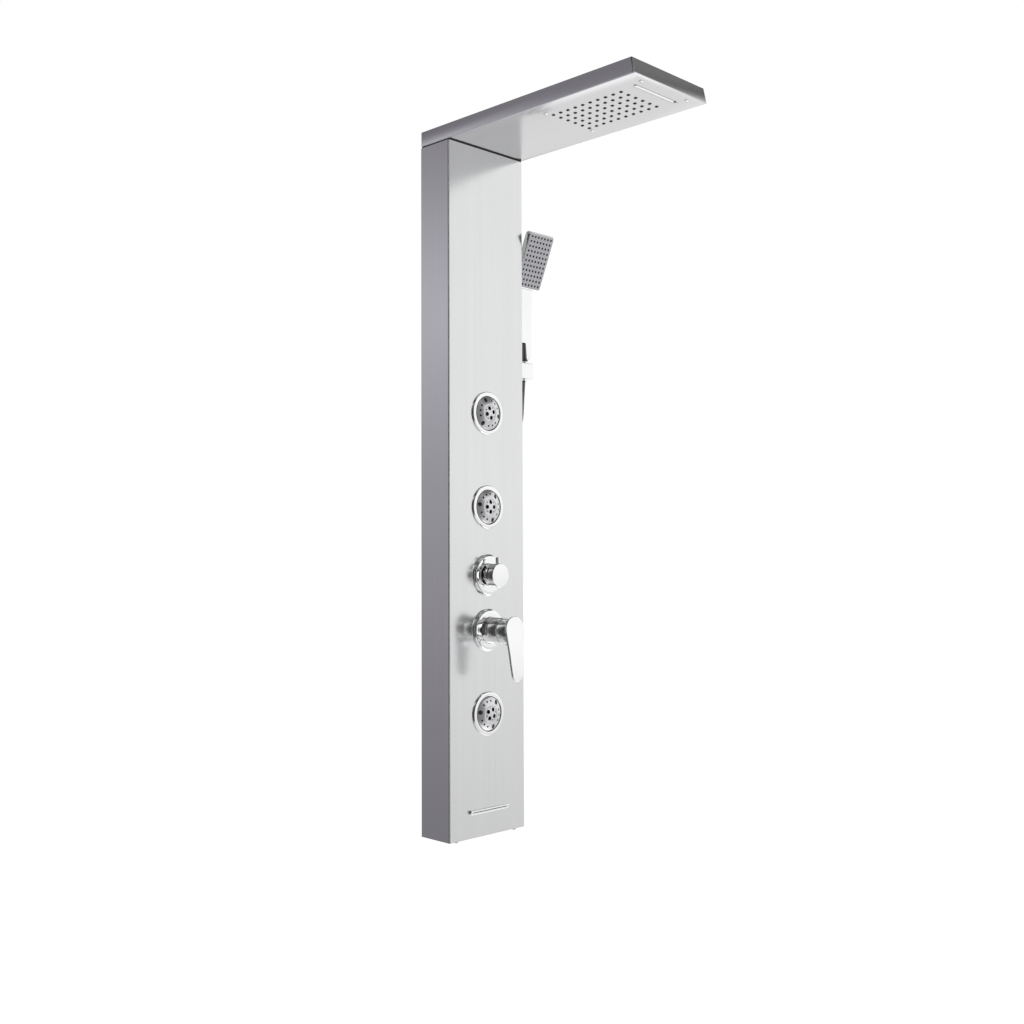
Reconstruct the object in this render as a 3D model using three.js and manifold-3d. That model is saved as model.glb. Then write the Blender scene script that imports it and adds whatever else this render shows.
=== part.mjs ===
// Wall-hung rainfall shower column: folded stainless column, overhead rain and
// waterfall head, three swivelling body jets, diverter, single-lever mixer,
// tub spout and hand shower on a hose. Millimetres, +Z up, the wall is y = 0,
// the column faces -Y.
import * as THREE from 'three';
import { mergeVertices } from 'three/addons/utils/BufferGeometryUtils.js';
import Module from 'manifold-3d';

const wasm = await Module();
wasm.setup();

// ---- driving dimensions ------------------------------------------------
const W = 200;               // column and head width
const D = 72;                // column depth, wall to front face
const H = 1270;              // column height
const T = 1.5;               // sheet thickness
const GAP = 0.3;             // clearance between neighbouring pieces
const F = -D;                // front face plane
const OZ = 1150;             // height of the upper wall bracket: the origin

const HEAD_Z0 = H + 1;       // underside of the head
const HEAD_Z1 = H + 29;      // top of the head
const HEAD_TIP_TOP = -480;   // tip, top edge
const HEAD_TIP_BOT = -486;   // tip, bottom edge

const JET_Z = [775, 601, 221];
const JET_R = 40;            // flange radius
const BALL_R = 32.8;         // swivel ball
const BALL_P = -9;           // ball centre, behind the front face

const DIV_Z = 475, DIV_R = 38.5, KNOB_R = 22, KNOB_L = 21.5, KNOB_P = 11.5;
const MIX_Z = 374, MIX_R = 39, SLEEVE_R = 24.5;
const LEVER_PIVOT = 34;      // lever pivot, in front of the front face
const SPOUT_Z = 47, SPOUT_W = 102, SPOUT_H = 8;

const NOZ_NX = 6, NOZ_NY = 10, NOZ_PX = 19.6, NOZ_PY = 15.95, NOZ_Y0 = F - 205.4;
const SLOT_Y = F - 381.5, SLOT_W = 120;
const HSCREW = [[-63, F - 200], [63, F - 200], [-63, F - 399], [63, F - 399]];

const HOLD_X = W / 2 + 41.7, HOLD_Y = -33, HOLD_Z = 871; // cone axis, block centre
const HOSE_R = 7, HOSE_BEND = 56;
const BSCREW_X = 77, BSCREW_Y = F + 6.5;

// ---- helpers -----------------------------------------------------------
const root = new THREE.Group();
const mats = {
  steel: { color: 0xb9bbbe, roughness: 0.34, metalness: 1 },
  steel_dark: { color: 0x94959b, roughness: 0.38, metalness: 1 },
  chrome: { color: 0xdfe1e4, roughness: 0.07, metalness: 1 },
  satin: { color: 0x9fa1a4, roughness: 0.3, metalness: 0.9 },
  nozzle: { color: 0x18181a, roughness: 0.6, metalness: 0 },
  plastic: { color: 0x2b2c2e, roughness: 0.5, metalness: 0 },
  white_plastic: { color: 0xd8d8d4, roughness: 0.5, metalness: 0 },
  brass: { color: 0xb89a5a, roughness: 0.32, metalness: 1 },
  zinc: { color: 0x8d9196, roughness: 0.45, metalness: 1 },
};

// three.js geometry -> manifold solid
function solid(g) {
  const a = g.clone();
  for (const k of Object.keys(a.attributes)) if (k !== 'position') a.deleteAttribute(k);
  const m = mergeVertices(a, 1e-4);
  const p = m.attributes.position.array;
  const ix = m.index.array;
  const tri = [];
  for (let i = 0; i < ix.length; i += 3) {
    if (ix[i] !== ix[i + 1] && ix[i + 1] !== ix[i + 2] && ix[i] !== ix[i + 2]) tri.push(ix[i], ix[i + 1], ix[i + 2]);
  }
  let vol = 0;
  for (let i = 0; i < tri.length; i += 3) {
    const [a1, b1, c1] = [tri[i] * 3, tri[i + 1] * 3, tri[i + 2] * 3];
    vol += p[a1] * (p[b1 + 1] * p[c1 + 2] - p[b1 + 2] * p[c1 + 1])
      - p[a1 + 1] * (p[b1] * p[c1 + 2] - p[b1 + 2] * p[c1])
      + p[a1 + 2] * (p[b1] * p[c1 + 1] - p[b1 + 1] * p[c1]);
  }
  if (vol < 0) for (let i = 0; i < tri.length; i += 3) { const t = tri[i]; tri[i] = tri[i + 1]; tri[i + 1] = t; }
  return new wasm.Manifold(new wasm.Mesh({ numProp: 3, vertProperties: new Float32Array(p), triVerts: new Uint32Array(tri) }));
}

function add(name, man, mat, parent = root) {
  const mesh = man.getMesh();
  const g = new THREE.BufferGeometry();
  const n = mesh.numProp;
  const pos = new Float32Array(mesh.vertProperties.length / n * 3);
  for (let i = 0; i < pos.length / 3; i++) for (let k = 0; k < 3; k++) pos[i * 3 + k] = mesh.vertProperties[i * n + k];
  g.setAttribute('position', new THREE.BufferAttribute(pos, 3));
  g.setIndex(new THREE.BufferAttribute(new Uint32Array(mesh.triVerts), 1));
  g.computeVertexNormals();
  const m = new THREE.Mesh(g, new THREE.MeshStandardMaterial(mats[mat]));
  m.name = name;
  parent.add(m);
  return m;
}

const box = (x0, x1, y0, y1, z0, z1) => {
  const g = new THREE.BoxGeometry(x1 - x0, y1 - y0, z1 - z0);
  g.translate((x0 + x1) / 2, (y0 + y1) / 2, (z0 + z1) / 2);
  return solid(g);
};
// profile of [radius, proud-of-front-face]; the axis is along Y at (x, z)
const revY = (prof, x, z, seg = 32) => {
  const g = new THREE.LatheGeometry(prof.map(([r, p]) => new THREE.Vector2(r, F - p)), seg);
  g.translate(x, 0, z);
  return solid(g);
};
// profile of [radius, z]; the axis is along Z at (x, y)
const revZ = (prof, x, y, seg = 24) => {
  const g = new THREE.LatheGeometry(prof.map(([r, z]) => new THREE.Vector2(r, z)), seg);
  g.rotateX(Math.PI / 2);
  g.translate(x, y, 0);
  return solid(g);
};
const ring = (prof) => [...prof, prof[0]];
const cylY = (r, p0, p1, x, z, seg = 20) => revY([[0, p0], [r, p0], [r, p1], [0, p1]], x, z, seg);
const cylZ = (r, z0, z1, x, y, seg = 24) => revZ([[0, z0], [r, z0], [r, z1], [0, z1]], x, y, seg);
const cylX = (r, x0, x1, y, z, seg = 20) => {
  const g = new THREE.CylinderGeometry(r, r, x1 - x0, seg);
  g.rotateZ(Math.PI / 2);
  g.translate((x0 + x1) / 2, y, z);
  return solid(g);
};
const roundRect = (w, h, r) => {
  const s = new THREE.Shape();
  s.moveTo(-w / 2 + r, -h / 2);
  s.lineTo(w / 2 - r, -h / 2); s.absarc(w / 2 - r, -h / 2 + r, r, -Math.PI / 2, 0);
  s.lineTo(w / 2, h / 2 - r); s.absarc(w / 2 - r, h / 2 - r, r, 0, Math.PI / 2);
  s.lineTo(-w / 2 + r, h / 2); s.absarc(-w / 2 + r, h / 2 - r, r, Math.PI / 2, Math.PI);
  s.lineTo(-w / 2, -h / 2 + r); s.absarc(-w / 2 + r, -h / 2 + r, r, Math.PI, 1.5 * Math.PI);
  return s;
};
const extr = (shape, depth, cs = 4) => new THREE.ExtrudeGeometry(shape, { depth, bevelEnabled: false, curveSegments: cs });
// shape drawn in X-Z, pushed out of the front face from p0 to p1
const faceExtr = (shape, p0, p1, x, z, cs = 4) => {
  const g = extr(shape, p1 - p0, cs);
  g.rotateX(Math.PI / 2);            // shape y -> z, depth -> -y
  g.translate(x, F - p0, z);
  return solid(g);
};
// side profile [y, z] pushed along X
const sideExtr = (pts, x0, x1) => {
  const s = new THREE.Shape(pts.map(([y, z]) => new THREE.Vector2(y, z)));
  const g = extr(s, x1 - x0);
  const m = new THREE.Matrix4().makeBasis(new THREE.Vector3(0, 1, 0), new THREE.Vector3(0, 0, 1), new THREE.Vector3(1, 0, 0));
  g.applyMatrix4(m);
  g.translate(x0, 0, 0);
  return solid(g);
};
const tube = (pts, r, steps, sides = 8) => {
  const c = new THREE.CatmullRomCurve3(pts.map((p) => new THREE.Vector3(...p)), false, 'centripetal');
  return tubeOn(c, r, steps, sides);
};
function tubeOn(c, r, steps, sides = 8) {
  const s = new THREE.Shape();
  for (let i = 0; i < sides; i++) {
    const a = (i / sides) * Math.PI * 2;
    if (i) s.lineTo(r * Math.cos(a), r * Math.sin(a)); else s.moveTo(r, 0);
  }
  return solid(new THREE.ExtrudeGeometry(s, { steps, bevelEnabled: false, extrudePath: c }));
}

// ---- column ------------------------------------------------------------
{
  const R = 2.5, w = W / 2;
  const s = new THREE.Shape();
  s.moveTo(-w, 0);
  s.lineTo(-w, F + R); s.absarc(-w + R, F + R, R, Math.PI, 1.5 * Math.PI);
  s.lineTo(w - R, F); s.absarc(w - R, F + R, R, 1.5 * Math.PI, 2 * Math.PI);
  s.lineTo(w, 0);
  s.lineTo(w - 11, 0); s.lineTo(w - 11, -T); s.lineTo(w - T, -T);
  s.lineTo(w - T, F + R); s.absarc(w - R, F + R, R - T, 0, -Math.PI / 2, true);
  s.lineTo(-w + R, F + T); s.absarc(-w + R, F + R, R - T, 1.5 * Math.PI, Math.PI, true);
  s.lineTo(-w + T, -T); s.lineTo(-w + 11, -T); s.lineTo(-w + 11, 0);
  let c = solid(extr(s, H, 3));
  for (const z of JET_Z) c = c.subtract(cylY(35.9, -6, 6, 0, z, 28));
  c = c.subtract(cylY(15.8, -6, 6, 0, DIV_Z, 24));
  c = c.subtract(cylY(26, -6, 6, 0, MIX_Z, 32));
  c = c.subtract(faceExtr(roundRect(SPOUT_W - 6, 5, 2.49), -6, 6, 0, SPOUT_Z));
  c = c.subtract(cylX(11.3, W / 2 - 6, W / 2 + 6, -25.1, 732.5, 24));
  add('column_cover', c, 'steel');

  let cap = box(-w + T + GAP, w - T - GAP, F + T + GAP, -T - 0.5, 0.4, 2.4);
  for (const x of [-BSCREW_X, BSCREW_X]) cap = cap.subtract(cylZ(1.9, -1, 5, x, BSCREW_Y, 12));
  add('bottom_cap', cap, 'steel');
  for (const [n, x] of [['left', -BSCREW_X], ['right', BSCREW_X]]) {
    add(`bottom_screw_${n}`, revZ([[0, -3.6], [2.4, -3.6], [3.4, -2.8], [3.4, 0.1], [1.5, 0.1], [1.5, 12], [0, 12]], x, BSCREW_Y, 14), 'zinc');
  }
}

// ---- wall brackets and hanger bars --------------------------------------
for (const [n, z] of [['upper', OZ], ['lower', 120]]) {
  let b = sideExtr([[0, z - 20], [0, z + 20], [-2.5, z + 20], [-2.5, z + 19.9], [-5.5, z + 19.9], [-5.5, z + 27], [-8, z + 27], [-8, z + 17.4], [-2.5, z + 17.4], [-2.5, z - 20]], -62, 62);
  for (const x of [-45, 45]) b = b.subtract(faceExtr(roundRect(12, 6, 2.99), F, F + 8, x, z, 4).translate([0, 4, 0]));
  add(`wall_bracket_${n}`, b, 'zinc');
  add(`hanger_bar_${n}`, sideExtr([[-8.4, z - 12], [-8.4, z + 27.4], [-2.2, z + 27.4], [-2.2, z + 29.9], [-10.9, z + 29.9], [-10.9, z - 12]], -W / 2 + T + GAP, W / 2 - T - GAP), 'steel_dark');
}

// ---- overhead head -------------------------------------------------------
{
  const w = W / 2, z0 = HEAD_Z0, z1 = HEAD_Z1;
  // folded casing: underside, two sides, back and slanted tip, open on top
  let c = sideExtr([[0, z0], [0, z1], [HEAD_TIP_TOP, z1], [HEAD_TIP_BOT, z0]], -w, w);
  c = c.subtract(sideExtr([[-T, z0 + T], [-T, z1 + 5], [HEAD_TIP_TOP + T, z1 + 5], [HEAD_TIP_TOP + T, z1], [HEAD_TIP_BOT + T + 0.3, z0 + T]], -w + T, w - T));
  c = c.subtract(box(-70, 70, -60, -16, z0 - 2, z0 + 4));     // pipe way into the column
  for (let i = 0; i < NOZ_NX; i++) for (let j = 0; j < NOZ_NY; j++) {
    c = c.subtract(cylZ(3.0, z0 - 2, z0 + 4, (i - (NOZ_NX - 1) / 2) * NOZ_PX, NOZ_Y0 - j * NOZ_PY, 4));
  }
  for (const [x, y] of HSCREW) c = c.subtract(cylZ(2.2, z0 - 2, z0 + 4, x, y, 10));
  const slot = extr(roundRect(SLOT_W, 9.6, 4.79), 6, 4);
  slot.translate(0, SLOT_Y, z0 - 2);
  c = c.subtract(solid(slot));
  add('head_casing', c, 'steel_dark');

  add('head_top_cover', box(-w + T + GAP, w - T - GAP, HEAD_TIP_TOP + T + GAP + 0.4, -T - GAP, z1 - 2.2, z1 - 0.7), 'steel_dark');

  // shallow water tray: rain bay plus a side channel to the waterfall bay
  const cz0 = z0 + T + 2.3, cz1 = z0 + 17;
  let t = box(-74, 74, F - 408, F - 190, cz0, cz1);
  t = t.subtract(box(-59, 55, F - 358, F - 192, cz0 - 1, cz1 - 2));
  t = t.subtract(box(57.6, 72, F - 358, F - 205, cz0 - 1, cz1 - 2));
  t = t.subtract(box(-56, 56, F - 394, F - 368, cz0 - 1, cz1 - 2));
  t = t.subtract(box(50, 72, F - 392, F - 350, cz0 - 1, cz1 - 2).subtract(box(49, 55.9, F - 359.9, F - 340, cz0 - 2, cz1)));
  t = t.subtract(box(-33, -19, F - 196, F - 180, cz0 + 3.5, cz1 - 3));
  t = t.subtract(box(59, 71, F - 210, F - 180, cz0 + 3.5, cz1 - 3));
  t = t.add(box(57.6, 72, F - 204.9, F - 195, cz0, cz0 + 3));
  for (const [x, y] of HSCREW) t = t.add(cylZ(5.4, cz0, cz1 - 1, x, y, 12)).subtract(cylZ(1.8, cz0 - 1, cz0 + 8, x, y, 10));
  add('rain_chamber', t, 'white_plastic');

  // silicone mat with its sixty nozzles
  const g = box(-58, 54, F - 357, F - 193, z0 + T + 0.3, z0 + T + 2.0);
  const nz = [g];
  for (let i = 0; i < NOZ_NX; i++) for (let j = 0; j < NOZ_NY; j++) {
    nz.push(revZ([[0, z0 - 1.2], [1.6, z0 - 1.2], [2.2, z0 + T + 1], [0, z0 + T + 1]],
      (i - (NOZ_NX - 1) / 2) * NOZ_PX, NOZ_Y0 - j * NOZ_PY, 4));
  }
  add('rain_nozzle_mat', wasm.Manifold.union(nz), 'nozzle');

  // waterfall outlet: lined slot hanging in the casing opening
  const o1 = extr(roundRect(SLOT_W - 0.8, 8.8, 4.39), T + 2.0, 3); o1.translate(0, SLOT_Y, z0 + 0.2);
  const o2 = extr(roundRect(SLOT_W + 6, 14, 6.9), 1.7, 3); o2.translate(0, SLOT_Y, z0 + T + 0.3);
  const o3 = extr(roundRect(SLOT_W - 10, 3.4, 1.69), 12, 2); o3.translate(0, SLOT_Y, z0 - 3);
  const o4 = extr(roundRect(SLOT_W - 3.2, 6.4, 3.19), 1.6, 2); o4.translate(0, SLOT_Y, z0 - 0.5);
  add('waterfall_outlet', solid(o1).add(solid(o2)).subtract(solid(o3)).subtract(solid(o4)), 'chrome');

  HSCREW.forEach(([x, y], i) => {
    add(`head_screw_${i + 1}`, revZ([[0, z0 - 2.2], [2.2, z0 - 1.9], [3.7, z0 - 0.9], [4.0, z0 - 0.3], [1.5, z0 - 0.3], [1.5, z0 + 9], [0, z0 + 9]], x, y, 12), 'zinc');
  });
}

// ---- body jets -----------------------------------------------------------
JET_Z.forEach((z, i) => {
  const n = `jet_${i + 1}`;
  const arc = (R, a0, a1, k) => Array.from({ length: k + 1 }, (_, q) => {
    const a = (a0 + (a1 - a0) * q / k) * Math.PI / 180;
    return [R * Math.cos(a), BALL_P + R * Math.sin(a)];
  });
  add(`${n}_flange`, revY(ring([[JET_R, 0.3], [JET_R, 2.2], [38.6, 3.6], [34, 3.6], [32.4, 2.8], [32.4, 0.3]]), 0, z, 28), 'chrome');
  add(`${n}_housing`, revY(ring([[33.4, -0.1], [35.2, -0.1], [35.2, -1.9], [41.5, -1.9], [41.5, -6.5], [35.2, -6.5], [35.2, -38], [13, -38], [13, -43.5], [9, -43.5], [9, -36], [22.4, -36], ...arc(33.9, -49, 0, 4)]), 0, z, 22), 'plastic');
  add(`${n}_ball`, revY(ring([[10, -27.8], [26.8, -27.8], ...arc(BALL_R, -35, 17, 4), [30.3, 0.6], [30.3, -3], [10, -3]]), 0, z, 20), 'satin');
  add(`${n}_face_ring`, revY(ring([[14.3, -2.7], [29.6, -2.7], [29.6, 1.7], [30.8, 1.8], [30.8, 2.8], [22, 6.2], [16.4, 7.6], [14.3, 6.8]]), 0, z, 20), 'satin');
  add(`${n}_centre`, revY([[0, -2.7], [13.8, -2.7], [13.8, 6.6], [12.4, 7.8], [0, 9.2]], 0, z, 18), 'satin');
});

// ---- diverter --------------------------------------------------------------
{
  const z = DIV_Z;
  add('diverter_escutcheon', revY(ring([[10.3, 0.3], [DIV_R, 0.3], [DIV_R, 3], [37.4, 5.4], [35.2, 6.6], [31, 7.1], [10.3, 7.1]]), 0, z, 32), 'chrome');
  let b = revY(ring([[10.3, -0.2], [15.4, -0.2], [15.4, -2.6], [19, -2.6], [19, -38], [0.001, -38], [0.001, -14], [10.3, -14]].map(([r, p]) => [Math.max(r, 0), p])), 0, z, 24);
  b = b.add(box(-38, 38, F + 12, F + 38, z - 15, z + 15).subtract(cylY(14, -45, 2, 0, z, 24)));
  b = b.add(cylY(6, -37, -44.2, 0, z, 12));
  add('diverter_valve_body', b, 'brass');
  add('diverter_spindle', revY([[0, -13.5], [9.9, -13.5], [9.9, 7.4], [14, 7.4], [14, 11.2], [0, 11.2]], 0, z, 24), 'chrome');
  add('diverter_knob', revY([[0, 0], [20.6, 0], [21.6, 0.6], [21.6, 1.4], [KNOB_R, 1.8], [KNOB_R, KNOB_L - 0.7], [21.3, KNOB_L], [0, KNOB_L]].map(([r, p]) => [r, p + KNOB_P]), 0, z, 36)
    .subtract(cylZ(2.4, z + 14, z + 30, 0, F - 25.5, 12)), 'chrome');
  add('diverter_pin', revZ([[0, z + 14.3], [2.1, z + 14.3], [2.1, z + 22.3], [3.7, z + 22.6], [3.7, z + 32.4], [3.1, z + 33], [0, z + 33]], 0, F - 25.5, 14), 'chrome');
}

// ---- mixer -------------------------------------------------------------------
{
  const z = MIX_Z, P = LEVER_PIVOT, RT = 26.1, RL = 26.45;
  add('mixer_escutcheon', revY(ring([[24.9, 0.3], [MIX_R, 0.3], [MIX_R, 3], [37.9, 5.4], [35.7, 6.6], [31.5, 7.1], [24.9, 7.1]]), 0, z, 32), 'chrome');
  add('mixer_sleeve', revY(ring([[21.6, -2], [SLEEVE_R, -2], [SLEEVE_R, 17.1], [24.1, 17.6], [21.6, 17.6]]), 0, z, 28), 'chrome');
  let b = revY(ring([[17.6, 15], [21.2, 15], [21.2, -2.4], [24, -2.6], [24, -42], [6, -42], [6, -26], [17.6, -26]]), 0, z, 18);
  b = b.add(cylX(10.3, -48, -20, F + 27, z, 12)).add(cylX(10.3, 20, 48, F + 27, z, 12));
  b = b.subtract(cylX(6.5, -49, -12, F + 27, z, 10)).subtract(cylX(6.5, 12, 49, F + 27, z, 10));
  add('mixer_valve_body', b, 'brass');
  add('mixer_cartridge', revY([[0, -25.6], [17.2, -25.6], [17.2, 17.2], [0, 17.2]], 0, z, 24), 'white_plastic');
  // turning bonnet with a domed front, centred on the lever pivot
  const dome = (R, p0, k) => Array.from({ length: k + 1 }, (_, q) => {
    const a0 = Math.asin((p0 - P) / R);
    const a = a0 + (Math.PI / 2 - a0) * q / k;
    return [R * Math.cos(a), P + R * Math.sin(a)];
  });
  const pT = P + Math.sqrt(RT * RT - SLEEVE_R * SLEEVE_R);
  const pL = P + Math.sqrt(RL * RL - SLEEVE_R * SLEEVE_R);
  add('mixer_bonnet', revY([[0, 18], [24.1, 18], [SLEEVE_R, 18.5], ...dome(RT, pT, 4).slice(0, 4), [6, 59], [0, 59]], 0, z, 26), 'chrome');
  // lever: skirt that clears the dome, and the paddle
  let l = revY([[0, 57], [SLEEVE_R, 40], [SLEEVE_R, 64.5], [0, 64.5]], 0, z, 28);
  const ps = new THREE.Shape();
  const hr = 24.2, L = 93, e = 13.4;
  ps.absarc(0, 0, hr, -0.22, Math.PI + 0.22);
  ps.bezierCurveTo(-21, -26, -17.2, -40, -16.4, -56);
  ps.lineTo(-e - 0.6, -L + e + 4);
  ps.absarc(0, -L + e, e, Math.PI, 2 * Math.PI);
  ps.lineTo(e + 0.6, -L + e + 4); ps.lineTo(16.4, -56);
  ps.bezierCurveTo(17.2, -40, 21, -26, hr * Math.cos(0.22), -hr * Math.sin(0.22));
  const pg = new THREE.ExtrudeGeometry(ps, { depth: 4.2, bevelEnabled: false, curveSegments: 10 });
  pg.rotateX(Math.PI / 2);
  pg.rotateX(-0.074);                    // the paddle leans out towards its end
  pg.translate(0, F - 64.2, z + 3.4);
  l = l.add(solid(pg));
  const sph = new THREE.SphereGeometry(RL + 0.25, 22, 14); sph.rotateX(Math.PI / 2); sph.translate(0, F - P, z);
  l = l.subtract(solid(sph)).subtract(cylY(SLEEVE_R + 10, 20, pL + 0.2, 0, z, 20));
  l = l.subtract(revY([[0, 55], [6.4, 55], [6.4, 59.4], [0, 59.4]], 0, z, 16));
  l = l.subtract(cylZ(2.6, z - 30, z - 21.5, 0, F - 57, 10));
  add('mixer_lever', l, 'chrome');
  add('mixer_grub_screw', cylZ(2.2, z - 24.6, z - 21.9, 0, F - 57, 10), 'zinc');
}

// ---- tub spout ------------------------------------------------------------------
{
  const z = SPOUT_Z;
  add('spout_bezel', faceExtr(roundRect(SPOUT_W, SPOUT_H, 3.99), 0.3, 5.5, 0, z, 5)
    .subtract(faceExtr(roundRect(SPOUT_W - 8, 3, 1.49), -2, 8, 0, z, 3)), 'chrome');
  let s = box(-50, 50, F + 1.9, F + 24, z - 9, z + 9).add(faceExtr(roundRect(SPOUT_W - 7, 4, 1.99), -3, 0, 0, z, 3));
  s = s.subtract(box(-45, 45, F - 1, F + 20, z - 1.2, z + 1.2)).subtract(cylY(4, -30, -15, 28, z, 12));
  add('spout_body', s, 'plastic');
}

// ---- water ways inside the column ---------------------------------------------------
{
  add('riser_pipe', cylZ(7, MIX_Z + 24.4, DIV_Z - 19.4, 0, F + 27, 10), 'brass');
  // rear manifold behind the jets
  const yM = -21.5;
  const m = cylZ(6, 200, 806, 0, yM, 10);
  add('jet_manifold_pipe', m, 'zinc');
  add('spout_feed_pipe', tube([[26, F + 27, DIV_Z - 16.2], [26, F + 28, DIV_Z - 24], [27, -24, DIV_Z - 48], [28, -22, DIV_Z - 70], [28, -22, 300], [28, -22, 90], [28, -25, 66], [28, -33, 51], [28, -42, SPOUT_Z], [28, F + 24.4, SPOUT_Z]], 4.6, 28, 6), 'zinc');
  add('rain_feed_pipe', tube([[-26, F + 30, DIV_Z + 16.2], [-26, F + 31, DIV_Z + 22], [-26, -24, DIV_Z + 52], [-26, -22, DIV_Z + 75], [-26, -22, 900], [-26, -22, 1255], [-26, -27, 1274], [-26, -42, 1282.3], [-26, -70, 1282.8], [-26, -200, 1282.8], [-26, F - 189.5, 1282.8]], 5, 34, 6), 'zinc');
  add('waterfall_feed_pipe', tube([[26, F + 30, DIV_Z + 16.2], [26, F + 31, DIV_Z + 22], [26, -24, DIV_Z + 52], [26, -22, DIV_Z + 75], [26, -22, 900], [26, -22, 1255], [26, -27, 1274], [27, -42, 1282.3], [34, -72, 1282.8], [60, -130, 1282.8], [65, -165, 1282.8], [65, F - 189.5, 1282.8]], 5, 38, 6), 'zinc');
  add('handset_outlet_pipe', tube([[-38.4, F + 25, DIV_Z], [-46, F + 25, DIV_Z], [-70, F + 27, DIV_Z + 6], [-82, F + 32, DIV_Z + 30], [-82, -26, DIV_Z + 88], [-82, -24, DIV_Z + 126], [-78, -24, DIV_Z + 148], [-68, -24, DIV_Z + 158], [-58, -24, DIV_Z + 155], [-54, -24, DIV_Z + 146]], 5, 20, 6), 'zinc');
}

// ---- hand shower, its holder and hose ------------------------------------------------
const X = HOLD_X, Y = HOLD_Y;
{
  // holder block on the column's side, with a conical seat
  let b = box(W / 2 + GAP, X + 15.3, Y - 15, Y + 15, HOLD_Z - 15, HOLD_Z + 15);
  b = b.subtract(revZ([[0, HOLD_Z - 16], [10.1, HOLD_Z - 16], [12.4, HOLD_Z + 16], [0, HOLD_Z + 16]], X, Y, 24));
  add('holder_block', b, 'chrome');
  // conical hose nut seated in the block
  add('hose_cone_nut', revZ(ring([[7.4, HOLD_Z - 19], [9.6, HOLD_Z - 19], [9.7, HOLD_Z - 16], [12.0, HOLD_Z + 15.3], [12.0, HOLD_Z + 19.2], [11.2, HOLD_Z + 20], [7.4, HOLD_Z + 20]]), X, Y, 24), 'chrome');

  // hand shower: round neck, flat handle, tilted rectangular head
  const zB = HOLD_Z + 20.4;
  const th = 22 * Math.PI / 180;
  const rectAt = (w, h, r, d0, d1, cs) => {          // solid behind the face plane
    const g = extr(roundRect(w, h, r), d1 - d0, cs);
    g.rotateX(Math.PI / 2);                          // depth goes to -y
    g.translate(0, -d0, 0);
    g.rotateX(th);                                   // lean the top forward
    g.translate(X, Y - 35.3, zB + 190.8);
    return solid(g);
  };
  let s = rectAt(70, 108, 6, -13, 0, 3);
  const hw = 24;
  s = s.add(sideExtr([[Y - 4.6, zB + 4], [Y - 5.4, zB + 90], [Y - 9.5, zB + 143], [Y - 11.5, zB + 158], [Y - 9, zB + 156], [Y + 0.4, zB + 132], [Y + 3, zB + 60], [Y + 4.4, zB + 4]], X - hw, X + hw));
  s = s.add(revZ([[0, zB], [9.4, zB], [9.4, zB + 3.2], [7.6, zB + 4.4], [5.2, zB + 33], [3.6, zB + 36], [0, zB + 36]], X, Y - 3, 14));
  s = s.subtract(rectAt(66.6, 104.6, 4.6, -4.4, 1, 3));
  add('handset_body', s, 'chrome');
  add('handset_nozzle_mat', rectAt(64, 102, 4, -4.1, -1.6, 3), 'nozzle');
  add('handset_face_plate', rectAt(66, 104, 4.3, -1.3, 0.2, 3), 'satin');

  // rubber grommet in the side wall
  add('hose_grommet', cylX(11.0, W / 2 - 3.4, W / 2 + 3, -25.1, 732.5, 20).add(cylX(14, W / 2 + 0.3, W / 2 + 3, -25.1, 732.5, 20)).subtract(cylX(10.2, W / 2 - 8, W / 2 + 8, -25.1, 732.5, 20)), 'nozzle');
}

// hose: down from the nut, through the side wall, and one hidden loop to its port
{
  const R = HOSE_BEND, th = Math.acos(1 - 41.7 / R);
  const pts = [];
  const zS = HOLD_Z - 19.3;
  // the plane of the first two bends leans back from y = -33 to y = -24
  const drop = 2 * R * Math.sin(th);
  const z1 = zS - 65;
  const yAt = (z) => Y + Math.sin(Math.PI / 2 * (zS - z) / (65 + drop)) * (-24 - Y);
  for (const d of [0, 22, 44, 65]) pts.push([X, yAt(zS - d), zS - d]);
  for (let i = 1; i <= 6; i++) { const a = th * i / 6; pts.push([X - R * (1 - Math.cos(a)), yAt(z1 - R * Math.sin(a)), z1 - R * Math.sin(a)]); }
  for (let i = 1; i <= 6; i++) { const a = th * (1 - i / 6); const dz = drop - R * Math.sin(a); pts.push([X - 2 * 41.7 + R * (1 - Math.cos(a)), yAt(z1 - dz), z1 - dz]); }
  const x2 = X - 2 * 41.7, x3 = x2 - 2 * R;
  const zU = 80;
  for (let z = z1 - drop - 40; z > zU + 20; z -= 44) pts.push([x2, -24, z]);
  for (let i = 0; i <= 8; i++) { const a = Math.PI * i / 8; pts.push([x2 - R + R * Math.cos(a), -24, zU - R * Math.sin(a)]); }
  const len = () => new THREE.CatmullRomCurve3(pts.map((p) => new THREE.Vector3(...p)), false, 'centripetal').getLength();
  const need = 1500 - len();
  const n = Math.round(need / 44);
  for (let i = 1; i <= n; i++) pts.push([x3, -24, zU + need * i / n]);
  const c = new THREE.CatmullRomCurve3(pts.map((p) => new THREE.Vector3(...p)), false, 'centripetal');
  add('hand_shower_hose', tubeOn(c, HOSE_R, 50, 8), 'chrome');
  root.userData.hoseEnd = [x3, -24, zU + need];
  root.userData.hoseLength = c.getLength();
  // union nut that closes the hose on its port
  const zE = zU + need;
  add('hose_union_nut', revZ([[0, zE + 0.3], [10.5, zE + 0.3], [10.5, zE + 13], [5.4, zE + 13], [5.4, zE + 16], [0, zE + 16]], x3, -24, 6), 'brass');
}

root.position.set(0, 0, -OZ);
export default root;
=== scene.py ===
import bpy
import bmesh
import math
from math import pi, sin, cos, radians, sqrt, atan2, acos, asin
from mathutils import Vector, Matrix


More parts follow.
